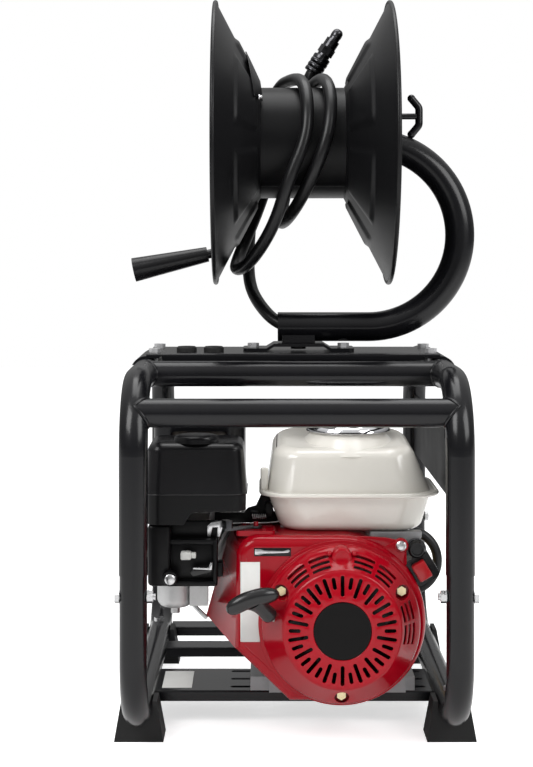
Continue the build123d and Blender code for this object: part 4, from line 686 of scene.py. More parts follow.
@dataclass
class RecoilCover:
    """The slotted red dome over the recoil starter, with wells for its bolts."""

    face: float = 15.0
    lip: float = 46.9
    wall: float = 2.0
    rounding: float = 0.5
    steps: int = 192
    slots: int = 18
    slot_width: float = 4.4
    slot_band: float = 36.0
    louvre_band: float = 71.0
    louvre_half: float = 1.4
    well_radius: float = 8.4
    well_floor: float = 34.0
    bolt_circle: float = 81.0
    boss_circle: float = 82.0
    boss_face: float = 15.5
    bead_circle: float = 87.0
    bead_depth: float = 21.5
    bead: float = 3.4

    PROFILE: ClassVar[Line] = (
        (33.3, 1.5), (33.8, 0.2), (36.0, 0.0), (67.0, 2.6), (69.5, 4.2), (71.0, 8.0),
        (91.0, 30.0), (92.5, 33.0), (93.0, 43.0), (97.0, 43.9),
    )
    SLOT_ENDS: ClassVar[Line] = ((23.5, 63.5), (13.7, 62.0))
    LOUVRE_RINGS: ClassVar[Triple] = (73.6, 78.9, 84.2)
    LOUVRES: ClassVar[Line] = (
        (50.0, 8.5), (71.0, 8.5), (109.0, 8.5), (130.0, 8.5), (14.0, 7.5), (355.0, 8.5),
    )
    BOLT_ANGLES: ClassVar[Triple] = (30.0, 150.0, 270.0)
    BEAD_ANGLES: ClassVar[tuple[float, float]] = (80.5, 99.5)
    BOSS: ClassVar[Line] = (
        (0.9, 0), (0.9, 6.0), (0, 7.6), (0, 8.8), (0.8, 10.6), (2.2, 11.4), (20, 11.8), (20, 0),
    )

    def build(self) -> None:
        """Make the dome with its slots, its bolts' wells and its lip, then its boss."""
        shape = bmesh.new()
        wells: list[Rim] = []
        for (inner, _), (outer, _) in zip(self.PROFILE, self.PROFILE[1:]):
            holes: list[Rim] = []
            if inner == self.slot_band:
                holes = self._radial_slots(shape)
            elif inner == self.louvre_band:
                holes = self._louvres(shape)
                wells = self._well_rims(shape)
                holes += wells
            self._annulus(shape, inner, outer, holes)
        self._set_depth(shape)
        for rim in wells:
            floor = self._draw_back(shape, [e for e in rim if e.is_valid], self.well_floor)
            bmesh.ops.contextual_create(shape, geom=edges_of(floor))
        back = at(0, self.face + self.PROFILE[-1][1] - 0.1, 0).y
        rim = [e for e in shape.edges if e.is_boundary and e.verts[0].co.y > back]
        self._draw_back(shape, rim, self.lip)
        cover = add_piece(shape, "recoil_dome", ENGINE_RED)
        sheet_modifiers(cover, self.wall, self.rounding)
        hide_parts("recoil_cover")
        self._boss()

    def _boss(self) -> None:
        """The round boss at the top of the dome, with a bead on either side of it."""
        seat = round_crank(self.boss_circle, 90, self.face + self.boss_face)
        shape = spun(self.BOSS, seat, BACK, 48)
        for angle in self.BEAD_ANGLES:
            spot = round_crank(self.bead_circle, angle, self.face + self.bead_depth)
            bmesh.ops.create_uvsphere(
                shape, u_segments=16, v_segments=10, radius=self.bead * MM,
                matrix=Matrix.Translation(spot),
            )
        add_piece(shape, "recoil_boss", ENGINE_RED)

    def _annulus(self, shape: BMesh, inner: float, outer: float, holes: list[Rim]) -> None:
        """Fill a flat ring, leaving its holes.

        Args:
            shape: The bmesh, flat in X and Y in millimetres.
            inner: The ring's inner radius.
            outer: Its outer radius.
            holes: The holes' edges.
        """
        edges = [e for rim in holes for e in rim]
        for radius in (inner, outer):
            made = bmesh.ops.create_circle(shape, segments=self.steps, radius=radius)
            edges += edges_of(made["verts"])
        bmesh.ops.triangle_fill(shape, use_beauty=True, edges=edges, normal=(0, 0, 1))

    def _radial_slots(self, shape: BMesh) -> list[Rim]:
        """The long and short round-ended slots round the badge.

        Args:
            shape: The bmesh.

        Returns:
            Their outlines.
        """
        rims = []
        ends = Matrix.Rotation(math.pi / 16, 4, "Z")
        for step in range(2 * self.slots):
            length, end = self.SLOT_ENDS[step % 2]
            half = self.slot_width / 2
            verts = bmesh.ops.create_circle(shape, segments=16, radius=half, matrix=ends)["verts"]
            for vert in verts:
                vert.co.x += math.copysign(length / 2 - half, vert.co.x) + end - length / 2
            turn = Matrix.Rotation(math.pi / 2 + math.pi * step / self.slots, 4, "Z")
            bmesh.ops.transform(shape, matrix=turn, verts=verts)
            rims.append(edges_of(verts))
        return rims

    def _louvres(self, shape: BMesh) -> list[Rim]:
        """The curved slots on the sloping band.

        Args:
            shape: The bmesh.

        Returns:
            Their outlines.
        """
        rims = []
        for angle, half in self.LOUVRES:
            sweep = [math.radians(angle + half * step / 3) for step in range(-3, 4)]
            for ring in self.LOUVRE_RINGS:
                path = [(ring - self.louvre_half, turn) for turn in sweep]
                path += [(ring + self.louvre_half, turn) for turn in reversed(sweep)]
                outline = [Vector((r * math.cos(t), r * math.sin(t), 0)) for r, t in path]
                rims.append(loop_edges(shape, outline))
        return rims

    def _well_rims(self, shape: BMesh) -> list[Rim]:
        """The round rims of the bolts' wells.

        Args:
            shape: The bmesh.

        Returns:
            Their outlines.
        """
        rims = []
        for angle in self.BOLT_ANGLES:
            turn = math.radians(angle)
            spot = Vector((math.cos(turn), math.sin(turn), 0)) * self.bolt_circle
            made = bmesh.ops.create_circle(
                shape, segments=28, radius=self.well_radius, matrix=Matrix.Translation(spot),
            )
            rims.append(edges_of(made["verts"]))
        return rims

    def _set_depth(self, shape: BMesh) -> None:
        """Stand the flat form up and push it to the dome's profile.

        Args:
            shape: The bmesh, flat in millimetres.
        """
        for vert in shape.verts:
            radius = vert.co.length
            depth = self.PROFILE[-1][1]
            for (r0, d0), (r1, d1) in zip(self.PROFILE, self.PROFILE[1:]):
                if r0 - 1e-4 <= radius <= r1 + 1e-4:
                    depth = d0 + (d1 - d0) * (radius - r0) / (r1 - r0)
                    break
            vert.co = at(CRANK_X + vert.co.x, self.face + depth, CRANK_Z + vert.co.y)

    def _draw_back(self, shape: BMesh, rim: Rim, depth: float) -> list[BMVert]:
        """Draw a wall straight back from a rim.

        Args:
            shape: The bmesh.
            rim: The rim's edges.
            depth: How far behind the face the wall ends, in millimetres.

        Returns:
            The wall's far corners.
        """
        made = bmesh.ops.extrude_edge_only(shape, edges=rim)["geom"]
        far = [g for g in made if isinstance(g, BMVert)]
        for vert in far:
            vert.co.y = at(0, self.face + depth, 0).y
        return far


@dataclass
class JumperHose:
    """The short hose from the arm's open end, loosely round the drum to its coupler."""

    coupler: bpy.types.Object
    diameter: float = 16.5
    length: float = 1.79
    drum: float = 145.0
    clearance: float = 5.2
    hidden: float = 22.0
    arm_low: float = 484.5

    RISE: ClassVar[tuple[Triple, ...]] = (
        (-21, 3, 4), (-46, 33, 31), (-57, 62, 56), (-58.5, 95, 92), (-56, 125, 135),
        (-50, 136, 180),
    )
    LOOPS: ClassVar[tuple[Triple, ...]] = (
        (-42, -34, 22), (0, -8, 0), (30, 2, 0), (60, 6, 0), (90, 3, 1), (120, -20, 20),
        (145, -37, 48), (165, -68, 78), (185, -90, 84), (205, -82, 72), (230, -57, 45),
        (260, -36, 19), (300, -6, 1), (330, 10, 0), (360, 25, 0), (390, 33, 0), (420, 36, 0),
        (450, 30, 1), (480, 12, 5), (510, -9, 14), (540, -27, 22), (570, -28, 26), (600, -19, 25),
        (630, -8, 22),
    )
    MOUTH: ClassVar[Triple] = (-21, 3, 5)
    MOUTH_LEAN: ClassVar[Triple] = (-92, 26, 29)
    END_LEAN: ClassVar[Triple] = (39, -4, 60)
    SLEEVE: ClassVar[Line] = ((0.4, 11.9), (1.2, 12.5), (4.6, 12.5), (5.6, 11.8))
    COLLAR: ClassVar[Line] = ((22, 12.2), (25, 12.2), (27, 9.2))
    TIP: ClassVar[Line] = (
        (57, 7.0), (58.4, 7.6), (62, 7.6), (65.6, 7.0), (68, 5.4), (69.4, 3.2), (69.8, 0),
    )

    def _off_arm(self, x: float, depth: float, z: float) -> Vector:
        """A point in metres from millimetres off the arm's low run."""
        return at(x, HALF_DEPTH + depth, self.arm_low + z)

    def _route(self, mouth: Vector) -> list[Vector]:
        """The control points, with the loops as degrees from the top, across and out.

        Args:
            mouth: The arm's open end in metres.

        Returns:
            The points in metres from inside the arm to the coupler.
        """
        wound = (self.drum + self.diameter) / 2 + self.clearance
        points = [mouth - Vector(self.MOUTH_LEAN).normalized() * self.hidden * MM]
        points += [self._off_arm(*spot) for spot in self.RISE]
        points.append(at(-40, HALF_DEPTH + 122, AXLE_Z + 8))
        points += [round_axle(x, wound + lift, 90 - turn) for turn, x, lift in self.LOOPS]
        last = at(20, HALF_DEPTH + 92, AXLE_Z + 88)
        lean = Vector(self.END_LEAN).normalized()
        return [*points, last, last + lean * self.diameter * MM]

    def build(self) -> None:
        mouth = self._off_arm(*self.MOUTH)
        route = self._route(mouth)
        hose = settle(tube("jumper_hose_line", [route], self.diameter), HOSE_RUBBER, "arm")
        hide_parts("jumper_hose")
        lean = (route[-1] - route[-2]).normalized()
        rings = [(start + along, out) for start in (0, 7, 14) for along, out in self.SLEEVE]
        shape = spun(((0, 11.0), *rings, *self.COLLAR), route[-1], lean, 48)
        merge_into(shape, spun(self.TIP, route[-1], lean, 48))
        trim = add_piece(shape, "coupler_trim", DARK_NICKEL, "arm")


@dataclass
class BypassHose:
    """The hose that arches from the unloader down to the pump's lower port."""

    diameter: float = 13.0
    length: float = 0.142
    radius: float = 41.0
    depth: float = 356.0
    port: float = 150.1
    top: float = 206.0

    CLAMP: ClassVar[Line] = (
        (0, 6.4), (0, 7.6), (0.6, 8.0), (6.4, 8.0), (7.0, 7.6), (7.0, 6.4), (0, 6.4),
    )

    def build(self) -> None:
        """Make the hose and its clamps."""
        middle = (self.port + self.diameter / 2, self.top - self.radius)
        low = self.top - 2 * self.radius
        reach = self.radius / math.cos(math.radians(15))
        route = [at(self.port, self.depth, self.top)]
        for angle in (75, 45, 15, -15, -45, -75):
            turn = math.radians(angle)
            x, z = middle[0] + reach * math.cos(turn), middle[1] + reach * math.sin(turn)
            route.append(at(x, self.depth, z))
        route.append(at(self.port, self.depth, low))
        hose = settle(tube("bypass_hose_line", [route], self.diameter), HOSE_RUBBER)
        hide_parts("bypass_hose")
        bands = bmesh.new()
        for z in (self.top, low):
            merge_into(bands, spun(self.CLAMP, at(self.port + 2, self.depth, z), RIGHT))
        add_piece(bands, "bypass_clamps", ZINC)


@dataclass
class Starter:
    """The recoil starter's arched handle on its stem, and the rope that it draws."""

    rope: float = 4.5
    rope_length: float = 0.034
    reach: float = 58.0
    shift: float = 4.0
    half: float = 31.0
    arch: float = 9.0
    thick: float = 9.0
    tall: float = 10.6
    rings: int = 28
    eye: float = 2.2

    STEM: ClassVar[tuple[Triple, ...]] = (
        (18.0, 2.6, 1.0), (18.0, 7.2, 1.0), (18.5, 8.5, 1.0), (19.8, 9.3, 1.0), (22.0, 9.5, 1.0),
        (30.0, 8.9, 1.0), (38.0, 8.8, 1.05), (44.0, 9.0, 1.15), (49.0, 9.2, 1.35),
        (53.0, 9.0, 1.7),
    )
    ROPE: ClassVar[tuple[float, ...]] = (3.0, 9.0, 15.0, 21.0, 27.0, 32.0, 37.0)
    HOLE: ClassVar[Triple] = (-21, 39, 150)
    PULL: ClassVar[Triple] = (-28, -33, 36)
    BAR: ClassVar[Triple] = (31, 4, 10)

    def build(self) -> None:
        """Make the handle, the rope's eyelet and the rope."""
        hole = at(*self.HOLE)
        pull, bar = Vector(self.PULL).normalized(), Vector(self.BAR).normalized()
        shape = self._bar(hole + (pull * self.reach - bar * self.shift) * MM, pull, bar)
        merge_into(shape, self._stem(hole, pull, bar))
        handle = add_piece(shape, "starter_handle", DARK_PLASTIC, "starter")
        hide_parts("starter_grip")
        turns = [math.tau * step / 14 for step in range(15)]
        eye = [(3.0 + self.eye * math.cos(t), 5.6 + self.eye * math.sin(t)) for t in turns]
        add_piece(spun(eye, hole - pull * 2 * MM, pull), "rope_eye", BLACK_PLASTIC)
        self._rope(hole, pull)

    def _bar(self, middle: Vector, pull: Vector, bar: Vector) -> BMesh:
        """The arched bar, thickest in its middle.

        Args:
            middle: Its middle in metres.
            pull: The way the rope is drawn.
            bar: The way the bar runs.

        Returns:
            The bmesh.
        """
        rings = []
        for step in range(-self.rings, self.rings + 1):
            t = math.sin(math.pi / 2 * step / (self.rings + 0.01))
            swell = (max(1 - abs(t) ** 4.5, 0.0) ** 0.5 + 0.002) * MM
            ahead = (bar * self.half - pull * (2 * self.arch * t)).normalized()
            side = ahead.cross(pull).normalized()
            spot = middle + (bar * (self.half * t) - pull * (self.arch * t * t)) * MM
            up = side.cross(ahead)
            rings.append(ellipse(spot, side * (self.thick * swell), up * (self.tall * swell)))
        return lofted(rings)

    def _stem(self, hole: Vector, pull: Vector, bar: Vector) -> BMesh:
        """The stem between the rope's hole and the bar, flared towards the bar.

        Args:
            hole: The rope's hole in metres.
            pull: The way the rope is drawn.
            bar: The way the bar runs.

        Returns:
            The bmesh.
        """
        side = bar.cross(pull).normalized()
        wide = pull.cross(side)
        return lofted([
            ellipse(hole + pull * reach * MM, wide * radius * flare * MM, side * radius * MM)
            for reach, radius, flare in self.STEM
        ])

    def _rope(self, hole: Vector, pull: Vector) -> None:
        """The rope between the hole and the handle, which draws out as the handle is pulled.

        Args:
            hole: The rope's hole in metres.
            pull: The way the rope is drawn.
        """
        points = [hole + pull * reach * MM for reach in self.ROPE]
        line = bpy.data.objects.new("rope_line", tube("rope_line", [points], self.rope))
        mesh = bpy.data.meshes.new_from_object(line)
        bpy.data.objects.remove(line)
        mesh.materials.clear()
        mesh.materials.append(ROPE_GREY.material())
        rope = placed("starter_line", mesh)
        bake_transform(rope)
        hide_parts("starter_rope")
        LOG.info("%s stretches from machine to starter", rope.name)


@dataclass
class ReelFlange:
    """A pressed flange of the reel with six pads and a rolled rim."""

    side: str
    outward: int
    inner: float = 54.65
    foot: float = 72.5
    rim: float = 183.0
    flare: float = 57.5
    sheet: float = 1.8
    roll: float = 3.0
    pad: float = 3.6
    bore: float = 12.75
    hub: float = 23.0
    hub_tall: float = 4.8

    RINGS: ClassVar[tuple[float, ...]] = (
        72.5, 75, 78, *range(80, 87), 95, 105, 115, 125, *range(131, 140), 150, 160, 170, 181,
    )

    def build(self) -> None:
        """Turn the dish, press its pads and put it in the CAD flange's place."""
        centre = at(REEL_X, HALF_DEPTH, AXLE_Z)
        shape = spun(self._profile(), centre, RIGHT * self.outward, 180)
        for vert in shape.verts:
            off = vert.co - centre
            angle = math.degrees(math.atan2(off.z, -off.y))
            vert.co.x -= self.outward * self._press(math.hypot(off.y, off.z) / MM, angle) * MM
        piece = add_piece(shape, f"flange_{self.side}_pressed", REEL_BLACK, "reel")
        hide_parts(f"reel_flange_{self.side}")

    def _reach(self, ring: float) -> float:
        """How far out along the axle the dish's inner face is, in millimetres."""
        return self.inner + self.flare / (self.rim - self.foot) * (ring - self.foot)

    def _profile(self) -> Line:
        """The closed section, along the axle and out from it.

        Returns:
            The points in millimetres.
        """
        inside = [(self._reach(ring), float(ring)) for ring in self.RINGS]
        lip, roll = self._reach(self.rim) + self.sheet / 2, self.roll
        turns = [math.radians(200 - 20 * step) for step in range(12)]
        rolled = [(lip + roll * math.cos(t), self.rim + roll * math.sin(t)) for t in turns]
        outside = [(x + self.sheet, ring) for x, ring in reversed(inside)]
        foot, boss = self.inner + self.sheet, self.inner + self.hub_tall
        start = (self.inner, self.bore)
        return (
            start, *inside, *rolled, *outside,
            (foot, self.hub), (boss, self.hub), (boss, self.bore), start,
        )

    def _press(self, ring: float, angle: float) -> float:
        """How far a pad stands in at a place on the dish.

        Args:
            ring: The distance from the axle in millimetres.
            angle: Degrees up from the front.

        Returns:
            The pressing in millimetres.
        """
        off = abs(angle % 60.0 - 30.0)
        level = smooth_step(80, 86, ring) * (1 - smooth_step(132, 138, ring))
        return self.pad * level * (1 - smooth_step(19.5, 23.5, off))

    def point(self, ring: float, angle: float, lift: float) -> Vector:
        """A point in metres at a distance from the axle, lifted inwards off the dish."""
        return round_axle(self.outward * (self._reach(ring) - lift), ring, angle)


@dataclass
class ReelTrim:
    """The drum's lapped seam, the clip plate on the left flange and the lock bar's ends."""

    flange: ReelFlange
    drum_half: float = 54.4
    lift: float = 6.0
    sheet: float = 1.6
    bar_x: float = 156.5
    bar_z: float = 760.5
    bar_half: float = 23.5
    ball: float = 5.3

    SEAM: ClassVar[Line] = ((-53.6, 71.5), (-53.6, 73.2), (-51.2, 73.4), (-50.8, 71.5))
    CLIP: ClassVar[Line] = ((98, 34), (78, 40), (120, 84), (84, 68))
    CLIP_BOLT: ClassVar[tuple[float, float]] = (88, 38)

    def build(self) -> None:
        """Make the seam, the clip plate and the bar's ends."""
        strip = [round_axle(-self.drum_half, radius, angle) for angle, radius in self.SEAM]
        seam = slab(strip, RIGHT * (2 * self.drum_half * MM), 0.4)
        add_piece(seam, "drum_seam", DRUM_BLACK, "reel")
        shape = bmesh.new()
        bmesh.ops.create_grid(shape, x_segments=4, y_segments=10, size=1.0)
        left, right, top_left, top_right = map(Vector, self.CLIP)
        for vert in shape.verts:
            across, up = (vert.co.x + 1) / 2, (vert.co.y + 1) / 2
            ring, angle = left.lerp(right, across).lerp(top_left.lerp(top_right, across), up)
            vert.co = self.flange.point(ring, angle, self.lift)
        clip = add_piece(shape, "clip_plate", REEL_BLACK, "reel")
        sheet_modifiers(clip, self.sheet, 0.4)
        bolt = flange_bolt(self.flange.point(*self.CLIP_BOLT, self.lift - 0.2), RIGHT, 4.4)
        add_piece(bolt, "clip_bolt", ZINC, "reel")
        ends = bmesh.new()
        for rise in (-self.bar_half, self.bar_half):
            spot = Matrix.Translation(at(self.bar_x, HALF_DEPTH, self.bar_z + rise))
            bmesh.ops.create_uvsphere(
                ends, u_segments=20, v_segments=12, radius=self.ball * MM, matrix=spot,
            )
        add_piece(ends, "lock_ends", POWDER_BLACK, "lock")


@dataclass
class CowlTrim:
    """What stands on the fan cover: a slot with its slide, a bare label and a bolted shoulder."""

    front: float = 62.0
    edge: float = 12.0
    half_width: float = 121.0
    lug_angle: float = 51.0
    lug_foot: float = 95.0
    lug_half: float = 17.0
    lug_reach: float = 114.0
    lug_radius: float = 9.0
    lug_depth: float = 71.0
    shoulder: float = 97.0
    shoulder_depth: float = 73.0

    LABEL_MIDDLE: ClassVar[tuple[float, float]] = (-53.6, 171.0)
    LABEL_HALF: ClassVar[tuple[float, float]] = (11.6, 47.0)
    SLIDE: ClassVar[Line] = (
        (-48, 233), (-42, 233.2), (-37, 231.6), (-15, 231), (-8.5, 232.6), (-6.8, 231),
        (-9, 229.2), (-15, 228.8), (-37, 228), (-43, 226.2), (-48, 227),
    )
    SHOULDER: ClassVar[Line] = (
        (66, 246.4), (88, 246), (108, 244.6), (120, 242), (128, 238), (131, 233), (131.6, 224),
        (132, 213),
    )
    SEAT: ClassVar[Line] = ((0, 0), (0, 7.4), (1.0, 8.2), (4, 8.4), (4, 0))
    BRACKET: ClassVar[Line] = (
        (104, 220), (90, 236), (90, 248), (152, 248), (151.5, 241), (144, 233), (134, 229),
        (118, 222),
    )

    def build(self) -> None:
        """Make every part of the trim."""
        self._label()
        slot = rounded_box((-49, self.front - 0.5, 225), (-5.6, self.front + 0.6, 234.6), 0.4)
        add_piece(slot, "cowl_slot", BLACK_PLASTIC)
        add_piece(plate(self.SLIDE, self.front - 0.4, -0.7, 0.2), "cowl_slide", ZINC)
        self._lug()

    def _label(self) -> None:
        """A bare white label that follows the cover's rounded left edge."""
        shape = bmesh.new()
        bmesh.ops.create_grid(shape, x_segments=16, y_segments=2, size=1.0)
        flat = CRANK_X - self.half_width + self.edge * 0.65
        for vert in shape.verts:
            x = self.LABEL_MIDDLE[0] + self.LABEL_HALF[0] * vert.co.x
            z = self.LABEL_MIDDLE[1] + self.LABEL_HALF[1] * vert.co.y
            drop = self.edge - math.sqrt(self.edge**2 - max(flat - x, 0.0) ** 2)
            vert.co = at(x, self.front - 0.25 + drop, z)
        sheet_modifiers(add_piece(shape, "cowl_label", LABEL_WHITE), 0.2)

    def _lug(self) -> None:
        """The cover's right shoulder with a lug, its flange bolt and the tank's bracket."""
        turn = math.radians(self.lug_angle)
        out = Vector((math.cos(turn), 0, math.sin(turn))) * MM
        side = Vector((-math.sin(turn), 0, math.cos(turn))) * MM
        middle = at(CRANK_X, self.lug_depth, CRANK_Z)
        outline = [middle + out * self.lug_foot + side * self.lug_half]
        for angle in range(100, -101, -20):
            bend = math.radians(angle)
            across, up = self.lug_radius * math.cos(bend), self.lug_radius * math.sin(bend)
            outline.append(middle + out * (self.lug_reach + across) + side * up)
        outline.append(middle + out * self.lug_foot - side * self.lug_half)
        shape = slab(outline, BACK * (7 * MM), 1.4)
        seat = round_crank(self.lug_reach, self.lug_angle, self.lug_depth - 1.5)
        merge_into(shape, spun(self.SEAT, seat, BACK))
        depth = self.shoulder_depth
        shoulder = [at(x, depth, z) for x, z in self.SHOULDER]
        shoulder += [round_crank(self.shoulder, angle, depth) for angle in range(40, 86, 9)]
        merge_into(shape, slab(shoulder, BACK * (5 * MM), 1.4))
        add_piece(shape, "cowl_lug", ENGINE_RED)
        add_piece(plate(self.BRACKET, 96, 16, 1.2), "tank_bracket", CASE_GREY)
        add_piece(flange_bolt(seat, -BACK, 7.4), "cowl_lug_bolt", ZINC)


@dataclass
class TankTrim:
    """The fuel tank's seam and tab, and the flared skirt of its cap."""

    seam: float = 5.4
    seam_z: float = 293.0
    corner: float = 41.2

    TAB: ClassVar[tuple[Triple, Triple]] = ((-41.6, 113, 292), (-32.0, 121, 322))
    CAP_SEAT: ClassVar[Triple] = (66.6, 165, 361.2)
    SKIRT: ClassVar[Line] = (
        (0.4, 43), (0.4, 50.4), (1.6, 52), (5, 51.4), (8.4, 48.6), (10.6, 44), (11, 41), (0.4, 41),
        (0.4, 43),
    )

    def build(self) -> None:
        """Make the seam, the tab and the skirt."""
        rim = rounded_outline((-40.6, 77.8, self.seam_z), 171.8, 252.2, self.corner)
        settle(tube("tank_seam", [rim], self.seam, closed=True), TANK_WHITE)
        add_piece(rounded_box(*self.TAB, 2.2), "tank_tab", TANK_WHITE)
        skirt = spun(self.SKIRT, at(*self.CAP_SEAT), UP, 96)
        add_piece(skirt, "cap_skirt", CHROME, "cap")


@dataclass
class Governor:
    """The governor's bracket, rod and spring between the air cleaner and the tank."""

    depth: float = 152.0
    sheet: float = 3.0
    rod: float = 1.8
    wire: float = 1.1
    coil: float = 3.2
    coil_length: float = 18.0
    turns: int = 8
    points_a_turn: int = 12

    BRACKET: ClassVar[Line] = (
        (-98, 244), (-98, 262), (-62, 262), (-57, 268), (-47, 271), (-41, 284), (-31, 285),
        (-25, 264), (-18, 258), (-16, 244),
    )
    LUGS: ClassVar[tuple[tuple[Triple, Triple], ...]] = (
        ((-54, 138, 256), (-42, 152, 266)), ((-36, 136, 258), (-26, 152, 276)),
    )
    SPRING: ClassVar[Triple] = (-52, 134, 260)
    ROD: ClassVar[tuple[Triple, ...]] = (
        (-84, 128, 252), (-78, 128, 253.5), (-48, 129, 252.6), (-18, 130, 254), (-14, 131, 257),
    )

    def build(self) -> None:
        """Make the bracket, the rod and the spring."""
        shape = plate(self.BRACKET, self.depth, self.sheet, 0.8)
        for low, high in self.LUGS:
            merge_into(shape, rounded_box(low, high, 1.5))
        add_piece(shape, "governor_bracket", CASE_BLACK)
        rod = [at(*spot) for spot in self.ROD]
        settle(tube("governor_rod", [rod], self.rod), ZINC)
        coil, (x, depth, z) = [], self.SPRING
        last = self.turns * self.points_a_turn
        for step in range(last + 1):
            turn = math.tau * step / self.points_a_turn
            across, up = self.coil * math.cos(turn), self.coil * math.sin(turn)
            coil.append(at(x + self.coil_length * step / last, depth + across, z + up))
        settle(tube("governor_spring", [coil], self.wire), ZINC)


@dataclass
class AirCleaner:
    """The air cleaner's seam bead, its domed knob and its lower case."""

    seam: float = 2.0
    front: float = 63.0
    depth: float = 108.0
    corner: float = 17.0
    arch_top: float = 279.0

    SEAM: ClassVar[tuple[Triple, float, float, float]] = (
        (-178.0, 62.0, 297.0), -58.0, 172.0, 18.0,
    )
    KNOB_SEAT: ClassVar[Triple] = (-118, 92, 357)
    KNOB: ClassVar[Line] = (
        (-1, 0), (-1, 26.8), (3.5, 26.6), (6.2, 25.4), (7.6, 22.6), (8.2, 17), (8.4, 8), (8.4, 0),
    )
    FRONT: ClassVar[Line] = (
        (-177, 261.05), (-132.4, 261.05), (-130.4, 263.5), (-127.6, 267.9), (-124.5, 272.2),
        (-122, 274.6), (-118.6, 276.4), (-114.5, 277.05), (-59, 277.05), (-59, 296.9),
        (-177, 296.9),
    )

    def build(self) -> None:
        """Make the bead, the knob and the case, whose underside arches up beside its leg."""
        seam = rounded_outline(*self.SEAM)
        settle(tube("cleaner_seam", [seam], self.seam, closed=True), BLACK_PLASTIC)
        knob = spun(self.KNOB, at(*self.KNOB_SEAT), UP, 64)
        add_piece(knob, "cleaner_knob", BLACK_PLASTIC)
        shape = plate(self.FRONT, self.front, self.depth, 0.0)
        soften(shape, [e for e in shape.edges if self._is_upright(e)], self.corner, 8)
        top = self.arch_top * MM
        rims = [e for e in corner_edges(shape) if max(v.co.z for v in e.verts) < top]
        soften(shape, rims, 0.8, 2)
        case = add_piece(shape, "cleaner_body", CASE_BLACK)
        even = case.modifiers.new("normals", "WEIGHTED_NORMAL")
        even.keep_sharp = True
        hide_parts("cleaner_case")

    @staticmethod
    def _is_upright(edge: BMEdge) -> bool:
        """Whether an edge runs mostly up."""
        return abs((edge.verts[0].co - edge.verts[1].co).normalized().dot(UP)) > 0.9


@dataclass
class Controls:
    """The control cover with its levers, screw and cable clip, and the carburettor's drain."""

    drain: float = 5.5

    COLUMN: ClassVar[tuple[Triple, Triple]] = ((-175, 70.5, 187), (-148, 103.9, 260.8))
    WALLS: ClassVar[tuple[tuple[Triple, Triple, float], ...]] = (
        ((-152, 84, 188), (-93, 103.9, 240), 1.0),
        ((-152, 72, 187), (-93, 103.9, 193.5), 2.2),
        ((-152, 74, 236), (-93, 103.9, 242), 2.0),
        ((-98, 73, 187), (-92.5, 103.9, 242), 2.0),
        ((-152, 95, 240), (-92, 103.9, 260.8), 1.0),
        ((-94, 80, 197), (-86, 100, 214), 1.5),
    )
    SCREW_SEAT: ClassVar[Triple] = (-148, 60, 198)
    BOSS: ClassVar[Line] = ((0, 0), (0, 7.6), (0.8, 8.4), (14, 8.8), (14, 0))
    SCREW: ClassVar[Line] = ((0, 0), (0, 6.2), (1.8, 6.2), (3.0, 4.6), (3.4, 0))
    CLIP: ClassVar[Line] = (
        (-105, 243), (-105, 256), (-100, 260), (-88, 262), (-85.5, 258), (-90, 243), (-94, 243),
        (-92.5, 254), (-99, 254), (-101, 243),
    )
    PIN: ClassVar[Line] = ((0, 0), (0, 3.0), (24, 3.0), (24, 0))
    CHOKE_PIVOT: ClassVar[Triple] = (-128, 66, 225)
    FUEL_PIVOT: ClassVar[Triple] = (-118, 66, 205)
    FUEL_ARM: ClassVar[Line] = (
        (-125, 205), (-121, 200.5), (-113, 202.5), (-99, 206), (-97.5, 215), (-101, 216),
        (-103, 211), (-120, 211.5),
    )
    FUEL_EDGE: ClassVar[Line] = (
        (-121, 211.3), (-102.6, 210.8), (-100.4, 217.4), (-98.0, 217.0), (-98.6, 208.6),
        (-121, 209.6),
    )
    DRAIN: ClassVar[tuple[Triple, ...]] = (
        (-127, 124, 160), (-124, 118, 157), (-115, 114, 149), (-106, 112, 141),
    )

    def build(self) -> None:
        """Make the cover, its levers and the drain."""
        shape = rounded_box(*self.COLUMN, 5.0)
        for low, high, rounding in self.WALLS:
            merge_into(shape, rounded_box(low, high, rounding))
        seat = at(*self.SCREW_SEAT)
        merge_into(shape, spun(self.BOSS, seat, BACK))
        cover = add_piece(shape, "control_housing", CASE_BLACK)
        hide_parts("control_cover")
        add_piece(spun(self.SCREW, seat, -BACK), "control_screw", ZINC)
        add_piece(plate(self.CLIP, 90, 3, 0.5), "cable_clip", ZINC)
        self._levers()
        drain = [at(*spot) for spot in self.DRAIN]
        settle(tube("carb_drain", [drain], self.drain), ZINC)

    def _levers(self) -> None:
        """The choke's pale knob and the fuel lever with its plated edge."""
        tip = rounded_box((-135.5, 58.5, 220.6), (-123.0, 71.4, 230.0), 2.0)
        merge_into(tip, rounded_box((-124.5, 61.5, 222.2), (-117.5, 70.5, 228.6), 1.2))
        merge_into(tip, spun(self.PIN, at(*self.CHOKE_PIVOT), BACK, 24))
        choke = add_piece(tip, "choke_tip", PALE_PLASTIC, "choke")
        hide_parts("choke_lever")
        arm = plate(self.FUEL_ARM, 63, 8.2, 0.8)
        merge_into(arm, spun(self.PIN, at(*self.FUEL_PIVOT), BACK, 24))
        fuel = add_piece(arm, "fuel_arm", DARK_PLASTIC, "fuel_tap")
        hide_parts("fuel_lever")
        add_piece(plate(self.FUEL_EDGE, 61.8, 1.6, 0.3), "fuel_edge", ZINC, "fuel_tap")


